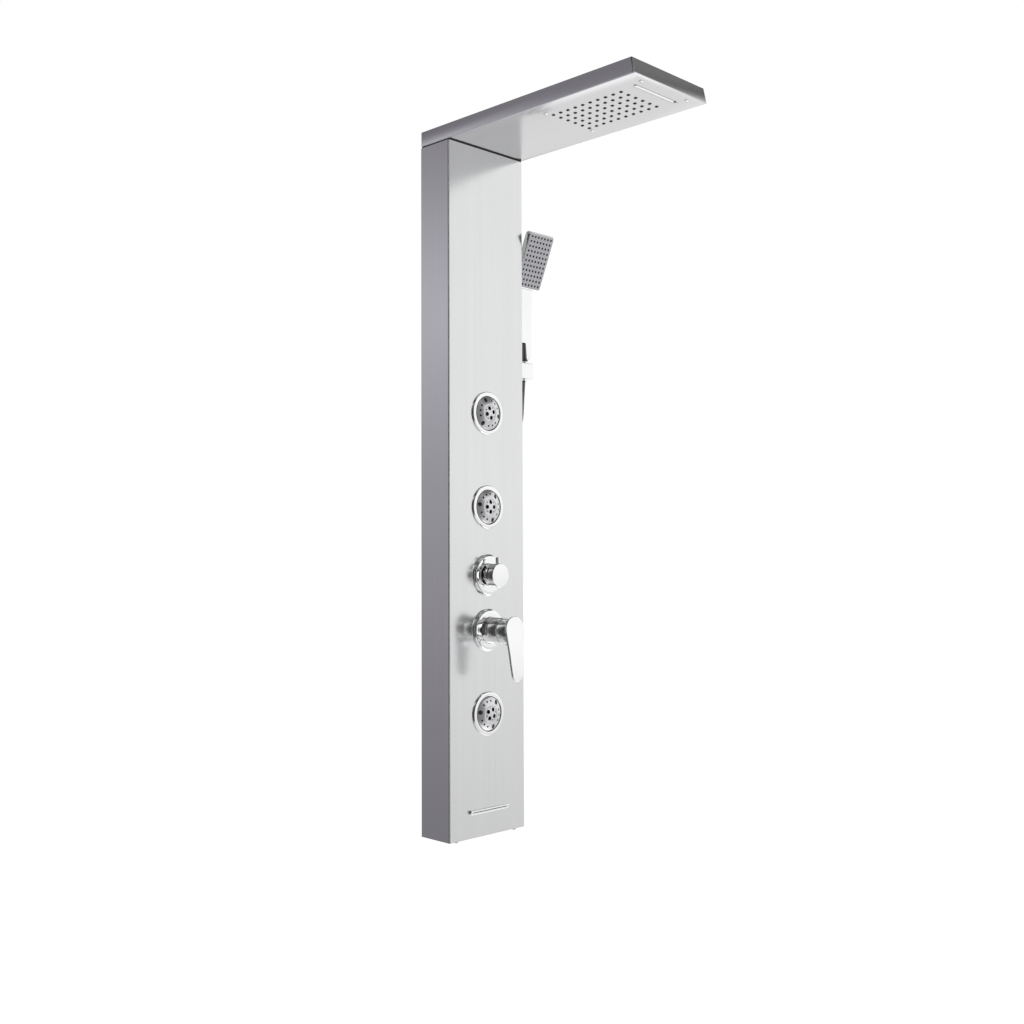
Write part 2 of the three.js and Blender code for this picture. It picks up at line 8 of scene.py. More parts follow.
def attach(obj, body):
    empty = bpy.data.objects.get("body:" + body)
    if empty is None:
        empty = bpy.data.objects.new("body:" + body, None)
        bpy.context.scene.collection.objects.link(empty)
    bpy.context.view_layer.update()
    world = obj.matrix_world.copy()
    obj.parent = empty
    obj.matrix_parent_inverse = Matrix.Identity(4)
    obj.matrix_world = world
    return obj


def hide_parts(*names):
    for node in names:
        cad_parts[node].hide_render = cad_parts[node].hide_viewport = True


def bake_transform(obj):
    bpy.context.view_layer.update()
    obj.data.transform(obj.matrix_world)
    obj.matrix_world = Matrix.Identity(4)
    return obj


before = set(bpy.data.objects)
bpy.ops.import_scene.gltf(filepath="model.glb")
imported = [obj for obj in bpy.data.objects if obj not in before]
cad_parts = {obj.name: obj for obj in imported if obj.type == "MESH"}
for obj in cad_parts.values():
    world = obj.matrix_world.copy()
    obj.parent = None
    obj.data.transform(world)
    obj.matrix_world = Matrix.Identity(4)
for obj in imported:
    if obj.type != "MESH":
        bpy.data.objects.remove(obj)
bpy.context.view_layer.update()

# ---------------------------------------------------------------- dimensions
# design millimetres: x right, y = 0 at the wall, z from the column's bottom
W, D, H, T = 200.0, 72.0, 1270.0, 1.5
F = -D
OZ = 1150.0
HZ0, HZ1 = H + 1, H + 29
TIP_T, TIP_B = -480.0, -486.0
JZ = [775.0, 601.0, 221.0]
DIV_Z, MIX_Z, SPOUT_Z = 475.0, 374.0, 47.0
HOLD_X, HOLD_Y, HOLD_Z = W / 2 + 41.7, -33.0, 871.0
NOZ_Y0, NOZ_PX, NOZ_PY = F - 205.4, 19.6, 15.95
SLOT_Y, SLOT_W = F - 381.5, 120.0
HSCREW = [(-63, F - 200), (63, F - 200), (-63, F - 399), (63, F - 399)]
BSX, BSY = 77.0, F + 6.5


def M(p):
    return Vector((p[0] / 1000.0, p[1] / 1000.0, (p[2] - OZ) / 1000.0))


# ---------------------------------------------------------------- camera
cam_data = bpy.data.cameras.new("camera")
cam = bpy.data.objects.new("camera", cam_data)
bpy.context.scene.collection.objects.link(cam)
bpy.context.scene.camera = cam
cam_data.sensor_width = 36.0
cam_data.lens = 1208.14 * 36.0 / 1024.0
cam_data.shift_x = 0.5 - 399.2 / 1024.0
cam_data.shift_y = 494.7 / 1024.0 - 0.5
cam_data.clip_start, cam_data.clip_end = 0.05, 60
cam.location = M((-1632.35, -1538.91 + F, 531.31))
cam.rotation_mode = "XYZ"
cam.rotation_euler = (radians(90 + 2.367), 0, radians(-42.514))


# ---------------------------------------------------------------- mesh tools
def obj_from(name, verts, faces, angle=35):
    me = bpy.data.meshes.new(name)
    me.from_pydata([M(v) for v in verts], [], faces)
    me.validate()
    bm = bmesh.new()
    bm.from_mesh(me)
    bmesh.ops.remove_doubles(bm, verts=bm.verts, dist=1e-7)
    bmesh.ops.dissolve_degenerate(bm, dist=1e-7, edges=bm.edges)
    bmesh.ops.recalc_face_normals(bm, faces=bm.faces)
    bm.to_mesh(me)
    bm.free()
    o = bpy.data.objects.new(name, me)
    bpy.context.scene.collection.objects.link(o)
    shade(o, angle)
    return o


def shade(o, angle=35):
    me = o.data
    me.polygons.foreach_set("use_smooth", [True] * len(me.polygons))
    me.set_sharp_from_angle(angle=radians(angle))
    me.update()


def apply_mods(o, angle=None):
    dg = bpy.context.evaluated_depsgraph_get()
    dg.update()
    me = bpy.data.meshes.new_from_object(o.evaluated_get(dg), depsgraph=dg)
    o.modifiers.clear()
    old = o.data
    o.data = me
    bpy.data.meshes.remove(old)
    if angle is not None:
        shade(o, angle)
    return o


def boolean(o, others, op="DIFFERENCE", angle=35):
    for c in others:
        m = o.modifiers.new("b", "BOOLEAN")
        m.operation = op
        m.object = c
        m.solver = "EXACT"
    bpy.context.view_layer.update()
    apply_mods(o, angle)
    for c in others:
        me = c.data
        bpy.data.objects.remove(c)
        bpy.data.meshes.remove(me)
    return o


def bevel(o, w, seg=3, limit=30, angle=35):
    m = o.modifiers.new("bev", "BEVEL")
    m.width = w / 1000.0
    m.segments = seg
    m.limit_method = "ANGLE"
    m.angle_limit = radians(limit)
    m.harden_normals = False
    m.use_clamp_overlap = True
    bpy.context.view_layer.update()
    return apply_mods(o, angle)


def join(name, parts, angle=35):
    bm = bmesh.new()
    for o in parts:
        bm.from_mesh(o.data)
    me = bpy.data.meshes.new(name)
    bm.to_mesh(me)
    bm.free()
    for o in parts:
        d = o.data
        bpy.data.objects.remove(o)
        bpy.data.meshes.remove(d)
    o = bpy.data.objects.new(name, me)
    bpy.context.scene.collection.objects.link(o)
    shade(o, angle)
    return o


def fillet(prof, seg=4):
    """(a, b, radius) points of a closed or open outline -> rounded outline."""
    out = []
    n = len(prof)
    for i, q in enumerate(prof):
        r = q[2] if len(q) > 2 else 0
        if not r:
            out.append((q[0], q[1]))
            continue
        a, c = prof[i - 1], prof[(i + 1) % n]
        v1 = Vector((a[0] - q[0], a[1] - q[1]))
        v2 = Vector((c[0] - q[0], c[1] - q[1]))
        l1, l2 = v1.length, v2.length
        v1.normalize()
        v2.normalize()
        ang = v1.angle(v2)
        t = min(r / math.tan(ang / 2), l1 * 0.49, l2 * 0.49)
        p1 = Vector(q[:2]) + v1 * t
        p2 = Vector(q[:2]) + v2 * t
        qq = Vector(q[:2])
        for k in range(seg + 1):
            s = k / seg
            out.append(tuple((1 - s) ** 2 * p1 + 2 * s * (1 - s) * qq + s ** 2 * p2))
    return out


def lathe(name, prof, cx, cc, axis="Y", seg=72, closed=False, angle=35, segf=4):
    """axis Y: prof is (radius, proud), centre (x, z). axis Z: prof (radius, z), centre (x, y)."""
    prof = fillet(prof, segf)
    verts, faces, rings = [], [], []
    for r, h in prof:
        if r < 1e-6:
            verts.append((cx, F - h, cc) if axis == "Y" else (cx, cc, h))
            rings.append([len(verts) - 1])
            continue
        ring = []
        for k in range(seg):
            a = 2 * pi * k / seg
            if axis == "Y":
                verts.append((cx + r * sin(a), F - h, cc + r * cos(a)))
            else:
                verts.append((cx + r * cos(a), cc + r * sin(a), h))
            ring.append(len(verts) - 1)
        rings.append(ring)
    pairs = list(zip(rings, rings[1:]))
    if closed:
        pairs.append((rings[-1], rings[0]))
    for a, b in pairs:
        if len(a) == 1 and len(b) == 1:
            continue
        for k in range(seg):
            k2 = (k + 1) % seg
            if len(a) == 1:
                faces.append((a[0], b[k], b[k2]))
            elif len(b) == 1:
                faces.append((a[k], b[0], a[k2]))
            else:
                faces.append((a[k], b[k], b[k2], a[k2]))
    return obj_from(name, verts, faces, angle)


def prism(name, outline, lift, angle=35, cap=True):
    """outline: list of 2D points; lift(p, t) gives the 3D point at t = 0 and t = 1."""
    n = len(outline)
    verts = [lift(p, 0) for p in outline] + [lift(p, 1) for p in outline]
    faces = [tuple(range(n)), tuple(range(2 * n - 1, n - 1, -1))]
    for i in range(n):
        j = (i + 1) % n
        faces.append((i, n + i, n + j, j))
    return obj_from(name, verts, faces, angle)


def rrect(w, h, r, seg=8):
    out = []
    for cx, cy, a0 in ((w / 2 - r, h / 2 - r, 0), (-w / 2 + r, h / 2 - r, 90), (-w / 2 + r, -h / 2 + r, 180), (w / 2 - r, -h / 2 + r, 270)):
        for k in range(seg + 1):
            a = radians(a0 + 90 * k / seg)
            out.append((cx + r * cos(a), cy + r * sin(a)))
    return out


def box(name, x0, x1, y0, y1, z0, z1, angle=35):
    return prism(name, [(x0, y0), (x1, y0), (x1, y1), (x0, y1)], lambda p, t: (p[0], p[1], z0 + (z1 - z0) * t), angle)


def cyl(name, axis, r, a, b, c1, c2, seg=32):
    if axis == "Z":
        return lathe(name, [(0, a), (r, a), (r, b), (0, b)], c1, c2, "Z", seg)
    if axis == "Y":
        return lathe(name, [(0, a), (r, a), (r, b), (0, b)], c1, c2, "Y", seg)
    pts = [(r * cos(2 * pi * k / seg), r * sin(2 * pi * k / seg)) for k in range(seg)]
    return prism(name, pts, lambda p, t: (a + (b - a) * t, c1 + p[0], c2 + p[1]))


def catmull(pts, per=12):
    """centripetal Catmull-Rom through the points, as the frame's own route is drawn."""
    P = [Vector(p) for p in pts]
    P = [P[0] * 2 - P[1]] + P + [P[-1] * 2 - P[-2]]
    out = []
    for i in range(1, len(P) - 2):
        p0, p1, p2, p3 = P[i - 1], P[i], P[i + 1], P[i + 2]
        t0 = 0
        t1 = t0 + max((p1 - p0).length, 1e-6) ** 0.5
        t2 = t1 + max((p2 - p1).length, 1e-6) ** 0.5
        t3 = t2 + max((p3 - p2).length, 1e-6) ** 0.5
        for k in range(per):
            t = t1 + (t2 - t1) * k / per
            a1 = p0 * ((t1 - t) / (t1 - t0)) + p1 * ((t - t0) / (t1 - t0))
            a2 = p1 * ((t2 - t) / (t2 - t1)) + p2 * ((t - t1) / (t2 - t1))
            a3 = p2 * ((t3 - t) / (t3 - t2)) + p3 * ((t - t2) / (t3 - t2))
            b1 = a1 * ((t2 - t) / (t2 - t0)) + a2 * ((t - t0) / (t2 - t0))
            b2 = a2 * ((t3 - t) / (t3 - t1)) + a3 * ((t - t1) / (t3 - t1))
            out.append(b1 * ((t2 - t) / (t2 - t1)) + b2 * ((t - t1) / (t2 - t1)))
    out.append(P[-2])
    return out


def resample(pts, step):
    out, acc = [pts[0].copy()], 0.0
    for a, b in zip(pts, pts[1:]):
        L = (b - a).length
        while acc + L >= step:
            t = (step - acc) / L
            a = a.lerp(b, t)
            out.append(a.copy())
            L = (b - a).length
            acc = 0.0
        acc += L
    if (out[-1] - pts[-1]).length > step * 0.3:
        out.append(pts[-1].copy())
    return out


def sweep(name, line, radius, sides=16, angle=60):
    """radius(i, s) along the line; ends closed."""
    n = len(line)
    tan = [(line[min(i + 1, n - 1)] - line[max(i - 1, 0)]).normalized() for i in range(n)]
    up = Vector((0, 1, 0)) if abs(tan[0].y) < 0.9 else Vector((1, 0, 0))
    u = (up - tan[0] * up.dot(tan[0])).normalized()
    verts, faces, s = [], [], 0.0
    for i in range(n):
        if i:
            s += (line[i] - line[i - 1]).length
            u = (u - tan[i] * u.dot(tan[i])).normalized()
        v = tan[i].cross(u)
        r = radius(i, s)
        for k in range(sides):
            a = 2 * pi * k / sides
            verts.append(tuple(line[i] + (u * cos(a) + v * sin(a)) * r))
    for i in range(n - 1):
        for k in range(sides):
            k2 = (k + 1) % sides
            faces.append((i * sides + k, i * sides + k2, (i + 1) * sides + k2, (i + 1) * sides + k))
    faces.append(tuple(range(sides))[::-1])
    faces.append(tuple((n - 1) * sides + k for k in range(sides)))
    return obj_from(name, verts, faces, angle)


# ---------------------------------------------------------------- materials
def new_mat(name):
    m = bpy.data.materials.new(name)
    m.use_nodes = True
    nt = m.node_tree
    return m, nt, nt.nodes["Principled BSDF"]


def nd(nt, kind, **kw):
    n = nt.nodes.new(kind)
    for k, v in kw.items():
        if k.startswith("i_"):
            n.inputs[k[2:].replace("_", " ")].default_value = v
        else:
            setattr(n, k, v)
    return n


def scaled(nt, sx, sy, sz, rot=(0, 0, 0)):
    tc = nd(nt, "ShaderNodeTexCoord")
    mp = nd(nt, "ShaderNodeMapping")
    mp.inputs["Scale"].default_value = (sx, sy, sz)
    mp.inputs["Rotation"].default_value = rot
    nt.links.new(tc.outputs["Object"], mp.inputs["Vector"])
    return mp.outputs["Vector"]


def rng(nt, src, a, b, lo=0.0, hi=1.0):
    r = nd(nt, "ShaderNodeMapRange")
    r.inputs["From Min"].default_value = lo
    r.inputs["From Max"].default_value = hi
    r.inputs["To Min"].default_value = a
    r.inputs["To Max"].default_value = b
    nt.links.new(src, r.inputs["Value"])
    return r.outputs["Result"]


def noise(nt, vec, scale, detail=4, rough=0.55):
    n = nd(nt, "ShaderNodeTexNoise")
    n.inputs["Scale"].default_value = scale
    n.inputs["Detail"].default_value = detail
    n.inputs["Roughness"].default_value = rough
    nt.links.new(vec, n.inputs["Vector"])
    return n.outputs["Fac"]


def mixc(nt, fac, a, b):
    m = nd(nt, "ShaderNodeMix")
    m.data_type = "RGBA"
    m.inputs["A"].default_value = (*a, 1)
    m.inputs["B"].default_value = (*b, 1)
    nt.links.new(fac, m.inputs["Factor"])
    return m.outputs["Result"]


def bump(nt, bsdf, height, strength, dist):
    b = nd(nt, "ShaderNodeBump")
    b.inputs["Strength"].default_value = strength
    b.inputs["Distance"].default_value = dist
    nt.links.new(height, b.inputs["Height"])
    nt.links.new(b.outputs["Normal"], bsdf.inputs["Normal"])


def brushed(name, col, col2, grain="Z", rough=(0.24, 0.34), strength=0.12, aniso=0.5):
    """Long fine scratches along one axis, soft cloudy wear, faint finger marks."""
    m, nt, b = new_mat(name)
    s = {"X": (20, 3800, 3800), "Y": (3800, 20, 3800), "Z": (3800, 3800, 16)}[grain]
    v = scaled(nt, *s)
    fine = noise(nt, v, 1.0, 3, 0.6)
    s2 = {"X": (2, 160, 160), "Y": (160, 2, 160), "Z": (160, 160, 1.6)}[grain]
    broad = noise(nt, scaled(nt, *s2), 1.0, 2, 0.5)
    cloud = noise(nt, scaled(nt, 1, 1, 1), 5.0, 3, 0.5)
    add = nd(nt, "ShaderNodeMath", operation="ADD")
    nt.links.new(fine, add.inputs[0])
    nt.links.new(broad, add.inputs[1])
    half = nd(nt, "ShaderNodeMath", operation="MULTIPLY")
    nt.links.new(add.outputs[0], half.inputs[0])
    half.inputs[1].default_value = 0.5
    nt.links.new(mixc(nt, rng(nt, half.outputs[0], 0, 1, 0.3, 0.7), col, col2), b.inputs["Base Color"])
    ad2 = nd(nt, "ShaderNodeMath", operation="MULTIPLY_ADD")
    nt.links.new(cloud, ad2.inputs[0])
    ad2.inputs[1].default_value = 0.10
    nt.links.new(rng(nt, fine, rough[0] - 0.05, rough[1] - 0.05, 0.3, 0.7), ad2.inputs[2])
    nt.links.new(ad2.outputs[0], b.inputs["Roughness"])
    b.inputs["Metallic"].default_value = 1.0
    bump(nt, b, fine, strength, 0.000022)
    return m


def chrome(name, col=(0.86, 0.87, 0.88), rough=(0.035, 0.075)):
    m, nt, b = new_mat(name)
    v = scaled(nt, 1, 1, 1)
    big = noise(nt, v, 26.0, 4, 0.55)
    small = noise(nt, v, 420.0, 2, 0.5)
    nt.links.new(mixc(nt, rng(nt, big, 0, 1, 0.3, 0.7), tuple(c * 0.965 for c in col), col), b.inputs["Base Color"])
    nt.links.new(rng(nt, big, rough[0], rough[1], 0.3, 0.72), b.inputs["Roughness"])
    b.inputs["Metallic"].default_value = 1.0
    bump(nt, b, small, 0.02, 0.00003)
    return m


def satin(name, col, rough=(0.22, 0.34), scale=700.0, metal=1.0, strength=0.08):
    m, nt, b = new_mat(name)
    v = scaled(nt, 1, 1, 1)
    grain = noise(nt, v, scale, 2, 0.5)
    big = noise(nt, v, 34.0, 3, 0.5)
    nt.links.new(mixc(nt, big, tuple(c * 0.9 for c in col), tuple(min(1, c * 1.06) for c in col)), b.inputs["Base Color"])
    nt.links.new(rng(nt, grain, rough[0], rough[1], 0.3, 0.7), b.inputs["Roughness"])
    b.inputs["Metallic"].default_value = metal
    bump(nt, b, grain, strength, 0.00005)
    return m


def moulded(name, col, rough=(0.45, 0.6), scale=900.0, strength=0.12, coat=0.0):
    m, nt, b = new_mat(name)
    v = scaled(nt, 1, 1, 1)
    grain = noise(nt, v, scale, 2, 0.6)
    big = noise(nt, v, 22.0, 3, 0.5)
    nt.links.new(mixc(nt, big, tuple(c * 0.82 for c in col), tuple(min(1, c * 1.15) for c in col)), b.inputs["Base Color"])
    nt.links.new(rng(nt, grain, rough[0], rough[1], 0.3, 0.7), b.inputs["Roughness"])
    b.inputs["Specular IOR Level"].default_value = 0.3
    bump(nt, b, grain, strength, 0.00008)
    return m


def zinc(name):
    m, nt, b = new_mat(name)
    vec = scaled(nt, 1, 1, 1)
    vo = nd(nt, "ShaderNodeTexVoronoi")
    vo.inputs["Scale"].default_value = 130.0
    nt.links.new(vec, vo.inputs["Vector"])
    sp = nd(nt, "ShaderNodeSeparateColor")
    nt.links.new(vo.outputs["Color"], sp.inputs["Color"])
    nt.links.new(mixc(nt, sp.outputs["Red"], (0.42, 0.44, 0.46), (0.60, 0.62, 0.64)), b.inputs["Base Color"])
    nt.links.new(rng(nt, sp.outputs["Green"], 0.28, 0.46), b.inputs["Roughness"])
    b.inputs["Metallic"].default_value = 1.0
    bump(nt, b, noise(nt, vec, 600.0, 3, 0.5), 0.1, 0.00006)
    return m


MAT = {
    "column": brushed("column_brushed_steel", (0.700, 0.703, 0.708), (0.735, 0.738, 0.742), "Z", (0.17, 0.23), 0.55),
    "head": brushed("head_brushed_steel", (0.655, 0.655, 0.665), (0.685, 0.685, 0.695), "Y", (0.17, 0.22), 0.3),
    "chrome": chrome("polished_chrome", (0.89, 0.892, 0.895), (0.03, 0.055)),
    # near-black base colour for the chrome hose: painted dark reflection down its core
    "hose": satin("hose_painted_dark_reflection", (0.13, 0.131, 0.136), (0.12, 0.20), 900.0, 1.0, 0.05),
    # near-black base colour for the chrome neck: painted dark reflection, the neck itself is chrome like the handset
    "painted_dark_reflection_chrome": chrome("neck_painted_dark_reflection", (0.11, 0.11, 0.115), (0.05, 0.09)),
    "jet": satin("jet_satin_plate", (0.70, 0.70, 0.715), (0.18, 0.26), 1100.0, 1.0, 0.06),
    "hand": satin("hand_face_plate", (0.50, 0.495, 0.52), (0.16, 0.24), 1100.0, 1.0, 0.04),
    "grip": moulded("jet_grip", (0.015, 0.015, 0.018), (0.5, 0.62), 900.0, 0.10),
    "silicone": moulded("black_silicone", (0.012, 0.012, 0.014), (0.38, 0.52), 800.0, 0.15),
    "hole": moulded("bore_shadow", (0.010, 0.010, 0.012), (0.6, 0.8), 500.0, 0.1),
    "dark": moulded("dark_plastic", (0.035, 0.035, 0.038)),
    "white": moulded("white_plastic", (0.62, 0.62, 0.60), (0.38, 0.5), 700.0, 0.1),
    "brass": satin("cast_brass", (0.62, 0.43, 0.18), (0.24, 0.44), 420.0, 1.0, 0.25),
    "zinc": zinc("zinc_plate"),
}


def put(o, mat, body, nodes=()):
    o.data.materials.clear()
    o.data.materials.append(MAT[mat])
    if body:
        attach(o, body)
    if nodes:
        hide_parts(*nodes)
    return o


# ---------------------------------------------------------------- hose
def hose_route():
    R = 56.0
    th = acos(1 - 41.7 / R)
    zS = HOLD_Z - 19.3
    z1 = zS - 65
    drop = 2 * R * sin(th)

    def yAt(z):
        return HOLD_Y + sin(pi / 2 * (zS - z) / (65 + drop)) * (-24 - HOLD_Y)

    pts = [(HOLD_X, yAt(zS - d), zS - d) for d in (0, 22, 44, 65)]
    for i in range(1, 7):
        a = th * i / 6
        pts.append((HOLD_X - R * (1 - cos(a)), yAt(z1 - R * sin(a)), z1 - R * sin(a)))
    for i in range(1, 7):
        a = th * (1 - i / 6)
        dz = drop - R * sin(a)
        pts.append((HOLD_X - 2 * 41.7 + R * (1 - cos(a)), yAt(z1 - dz), z1 - dz))
    x2 = HOLD_X - 2 * 41.7
    x3 = x2 - 2 * R
    zU = 80.0
    z = z1 - drop - 40
    while z > zU + 20:
        pts.append((x2, -24, z))
        z -= 44
    for i in range(9):
        a = pi * i / 8
        pts.append((x2 - R + R * cos(a), -24, zU - R * sin(a)))
    zE = 593.632
    n = round((zE - zU) / 44)
    for i in range(1, n + 1):
        pts.append((x3, -24, zU + (zE - zU) * i / n))
    return pts


route = hose_route()
fine = catmull(route, 24)
line = resample(fine, 0.64)
PITCH = 3.2


def hose_r(i, s):
    k = (s % PITCH) / PITCH
    return 5.85 + 1.12 * (0.5 - 0.5 * cos(2 * pi * k)) ** 0.6


hose = sweep("shower_hose", line, hose_r, 16, 80)
step = max(1, len(line) // 38)
hpath = [M(p) for p in line[::step]]
if (hpath[-1] - M(line[-1])).length > 0.002:
    hpath.append(M(line[-1]))
# the hose takes the near-black finish, a painted dark reflection
hose.data.materials.append(MAT["hose"])
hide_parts("hand_shower_hose")
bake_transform(hose)
M(route[0])


# ---------------------------------------------------------------- column
def column_cover():
    w = W / 2
    R = 2.6

    def arc(cx, cy, r, a0, a1, n=8):
        return [(cx + r * cos(radians(a0 + (a1 - a0) * k / n)), cy + r * sin(radians(a0 + (a1 - a0) * k / n))) for k in range(n + 1)]

    out = [(-w, 0)] + arc(-w + R, F + R, R, 180, 270) + arc(w - R, F + R, R, 270, 360) + [(w, 0), (w - 11, 0), (w - 11, -T), (w - T, -T)]
    out += arc(w - R, F + R, R - T, 0, -90) + arc(-w + R, F + R, R - T, -90, -180) + [(-w + T, -T), (-w + 11, -T), (-w + 11, 0)]
    n = len(out)
    zs = [0, H - 1.3]
    verts = [(x, y, z) for z in zs for x, y in out]
    # the quads form the sheet's skins; each end is closed by one face over its cross-section
    faces = [(i, n + i, n + (i + 1) % n, (i + 1) % n) for i in range(n)]
    faces.append(tuple(range(n)))
    faces.append(tuple(range(2 * n - 1, n - 1, -1)))
    o = obj_from("column_shell", verts, faces, 30)
    cuts = [cyl("c", "Y", 35.9, -6, 6, 0, z, 72) for z in JZ]
    cuts.append(cyl("c", "Y", 15.8, -6, 6, 0, DIV_Z, 48))
    cuts.append(cyl("c", "Y", 26.0, -6, 6, 0, MIX_Z, 64))
    cuts.append(prism("c", rrect(96, 5, 2.45), lambda p, t: (p[0], F - 6 + 12 * t, SPOUT_Z + p[1])))
    cuts.append(cyl("c", "X", 11.3, w - 6, w + 6, -25.1, 732.5, 48))
    return boolean(o, cuts, angle=30)


put(column_cover(), "column", "column", ["column_cover"])

for side, x in (("left", -BSX), ("right", BSX)):
    s = lathe(f"bottom_screw_head_{side}", [(0, -3.7), (2.5, -3.6, 0.6), (3.5, -2.4, 0.6), (3.5, 0.1), (1.5, 0.1), (1.5, 12), (0, 12)], x, BSY, "Z", 32)
    c1 = box("c", x - 1.7, x + 1.7, BSY - 0.35, BSY + 0.35, -4.6, -2.4)
    c2 = box("c", x - 0.35, x + 0.35, BSY - 1.7, BSY + 1.7, -4.6, -2.4)
    put(boolean(s, [c1, c2]), "zinc", "column", [f"bottom_screw_{side}"])


# ---------------------------------------------------------------- overhead head
def head_casing():
    w = W / 2
    o = prism("head_shell", [(0, HZ0), (0, HZ1), (TIP_T, HZ1), (TIP_B, HZ0)], lambda p, t: (-w + 2 * w * t, p[0], p[1]))
    bevel(o, 1.3, 4, 30, 30)
    inner = prism("c", [(-T, HZ0 + T), (-T, HZ1 + 5), (TIP_T + T, HZ1 + 5), (TIP_T + T, HZ1), (TIP_B + T + 0.3, HZ0 + T)], lambda p, t: (-w + T + (2 * w - 2 * T) * t, p[0], p[1]))
    way = box("c", -70, 70, -60, -16, HZ0 - 2, HZ0 + 4)
    holes = []
    for i in range(6):
        for j in range(10):
            holes.append(cyl("h", "Z", 2.7, HZ0 - 2, HZ0 + 4, (i - 2.5) * NOZ_PX, NOZ_Y0 - j * NOZ_PY, 20))
    for x, y in HSCREW:
        holes.append(cyl("h", "Z", 2.2, HZ0 - 2, HZ0 + 4, x, y, 16))
    hole = join("holes", holes)
    slot = prism("c", rrect(SLOT_W, 9.6, 4.79, 12), lambda p, t: (p[0], SLOT_Y + p[1], HZ0 - 2 + 6 * t))
    # open corner seams of the folded tip
    seams = []
    for sx in (-1, 1):
        x0, x1 = sorted((sx * (w - 0.95), sx * (w + 1)))
        seams.append(prism("c", [(TIP_T + 1.4, HZ1 + 1), (TIP_T + 2.6, HZ1 + 1), (TIP_B + 4.6, HZ0 + 5.5), (TIP_B + 5.8, HZ0 + 2.2), (TIP_B + 3.6, HZ0 + 1.2), (TIP_B + 3.4, HZ0 + 5.5)], lambda p, t, x0=x0, x1=x1: (x0 + (x1 - x0) * t, p[0], p[1])))
    return boolean(o, [inner, way, hole, slot] + seams, angle=30)


put(head_casing(), "head", "column", ["head_casing"])

cov = box("head_cover_plate", -W / 2 + T + 0.3, W / 2 - T - 0.3, TIP_T + T + 0.7, -T - 0.3, HZ1 - 2.2, HZ1 - 0.5)
put(bevel(cov, 0.4, 2), "head", "column", ["head_top_cover"])


def nozzles():
    parts = [box("m", -58, 54, F - 357, F - 193, HZ0 + T + 0.3, HZ0 + T + 2.0)]
    for i in range(6):
        for j in range(10):
            x, y = (i - 2.5) * NOZ_PX, NOZ_Y0 - j * NOZ_PY
            parts.append(lathe("n", [(0, HZ0 + 0.4), (0.75, HZ0 + 0.4), (0.75, HZ0 - 1.5), (1.5, HZ0 - 1.5, 0.3), (2.5, HZ0 - 0.6, 0.2), (3.3, HZ0 - 0.4, 0.15), (3.3, HZ0 - 0.05), (2.3, HZ0 - 0.05), (2.3, HZ0 + T + 0.6), (0, HZ0 + T + 0.6)], x, y, "Z", 18, segf=2))
    return join("rain_nozzles", parts)


put(nozzles(), "silicone", "column", ["rain_nozzle_mat"])


def loft(name, rings, closed=True, angle=35):
    n, vs, fs = len(rings[0]), [p for q in rings for p in q], []
    for a in range(len(rings) if closed else len(rings) - 1):
        b2 = (a + 1) % len(rings)
        for k in range(n):
            k2 = (k + 1) % n
            fs.append((a * n + k, a * n + k2, b2 * n + k2, b2 * n + k))
    return obj_from(name, vs, fs, angle)


def waterfall():
    rows = [(SLOT_W - 0.8, 8.8, 4.39, 0, 0.2), (SLOT_W - 0.8, 8.8, 4.39, 0, T + 0.3), (SLOT_W + 6, 14, 6.9, 0, T + 0.3), (SLOT_W + 6, 14, 6.9, 0, T + 2.0), (SLOT_W - 12, 1.5, 0.74, -1.9, T + 2.0),
            (SLOT_W - 12, 1.5, 0.74, -1.9, 0.9), (SLOT_W - 3.8, 5.8, 2.89, 0, 0.9), (SLOT_W - 3.2, 6.4, 3.19, 0, 0.35)]
    return loft("waterfall_lining", [[(u, SLOT_Y + dy + v, HZ0 + dz) for u, v in rrect(w, h, rr, 12)] for w, h, rr, dy, dz in rows])


put(waterfall(), "chrome", "column", ["waterfall_outlet"])
# near-black discs in the slot's end ports: painted shade inside the ports
put(join("waterfall_end_ports", [cyl("s", "Z", 2.7, HZ0 + 0.45, HZ0 + 1.2, sx * (SLOT_W / 2 - 4.6), SLOT_Y, 24) for sx in (-1, 1)]), "hole", "column")
# black silicone band filling the joint between the column and the head, standing in for the shade of the gap: painted
# shade
put(loft("joint_shadow_band", [[(u, -36 + v, zz) for u, v in rrect(w, h, 0.8, 6)] for w, h, zz in ((198.2, 70.6, H - 1.28), (198.2, 70.6, HZ0 - 0.03), (190, 62, HZ0 - 0.03), (190, 62, H - 1.28))]), "silicone", "column")

for i, (x, y) in enumerate(HSCREW, 1):
    s = lathe(f"head_screw_dome_{i}", [(0, HZ0 - 2.3), (1.6, HZ0 - 2.25, 0.5), (3.0, HZ0 - 1.6, 0.8), (4.0, HZ0 - 0.3), (1.5, HZ0 - 0.3), (1.5, HZ0 + 9), (0, HZ0 + 9)], x, y, "Z", 32)
    c1 = box("c", x - 1.5, x + 1.5, y - 0.35, y + 0.35, HZ0 - 3.5, HZ0 - 1.3)
    c2 = box("c", x - 0.35, x + 0.35, y - 1.5, y + 1.5, HZ0 - 3.5, HZ0 - 1.3)
    put(boolean(s, [c1, c2]), "chrome", "column", [f"head_screw_{i}"])


# ---------------------------------------------------------------- body jets
LOBES = [-20, 40, 40]
CLUSTER = [-15, 0, 30]


def dome(r):
    return 9.8 - 6.9 * (r / 30.9) ** 2


def at(rad, deg, z):
    """point on a jet's face, angle clockwise from up as seen from the front"""
    return rad * sin(radians(deg)), z + rad * cos(radians(deg))


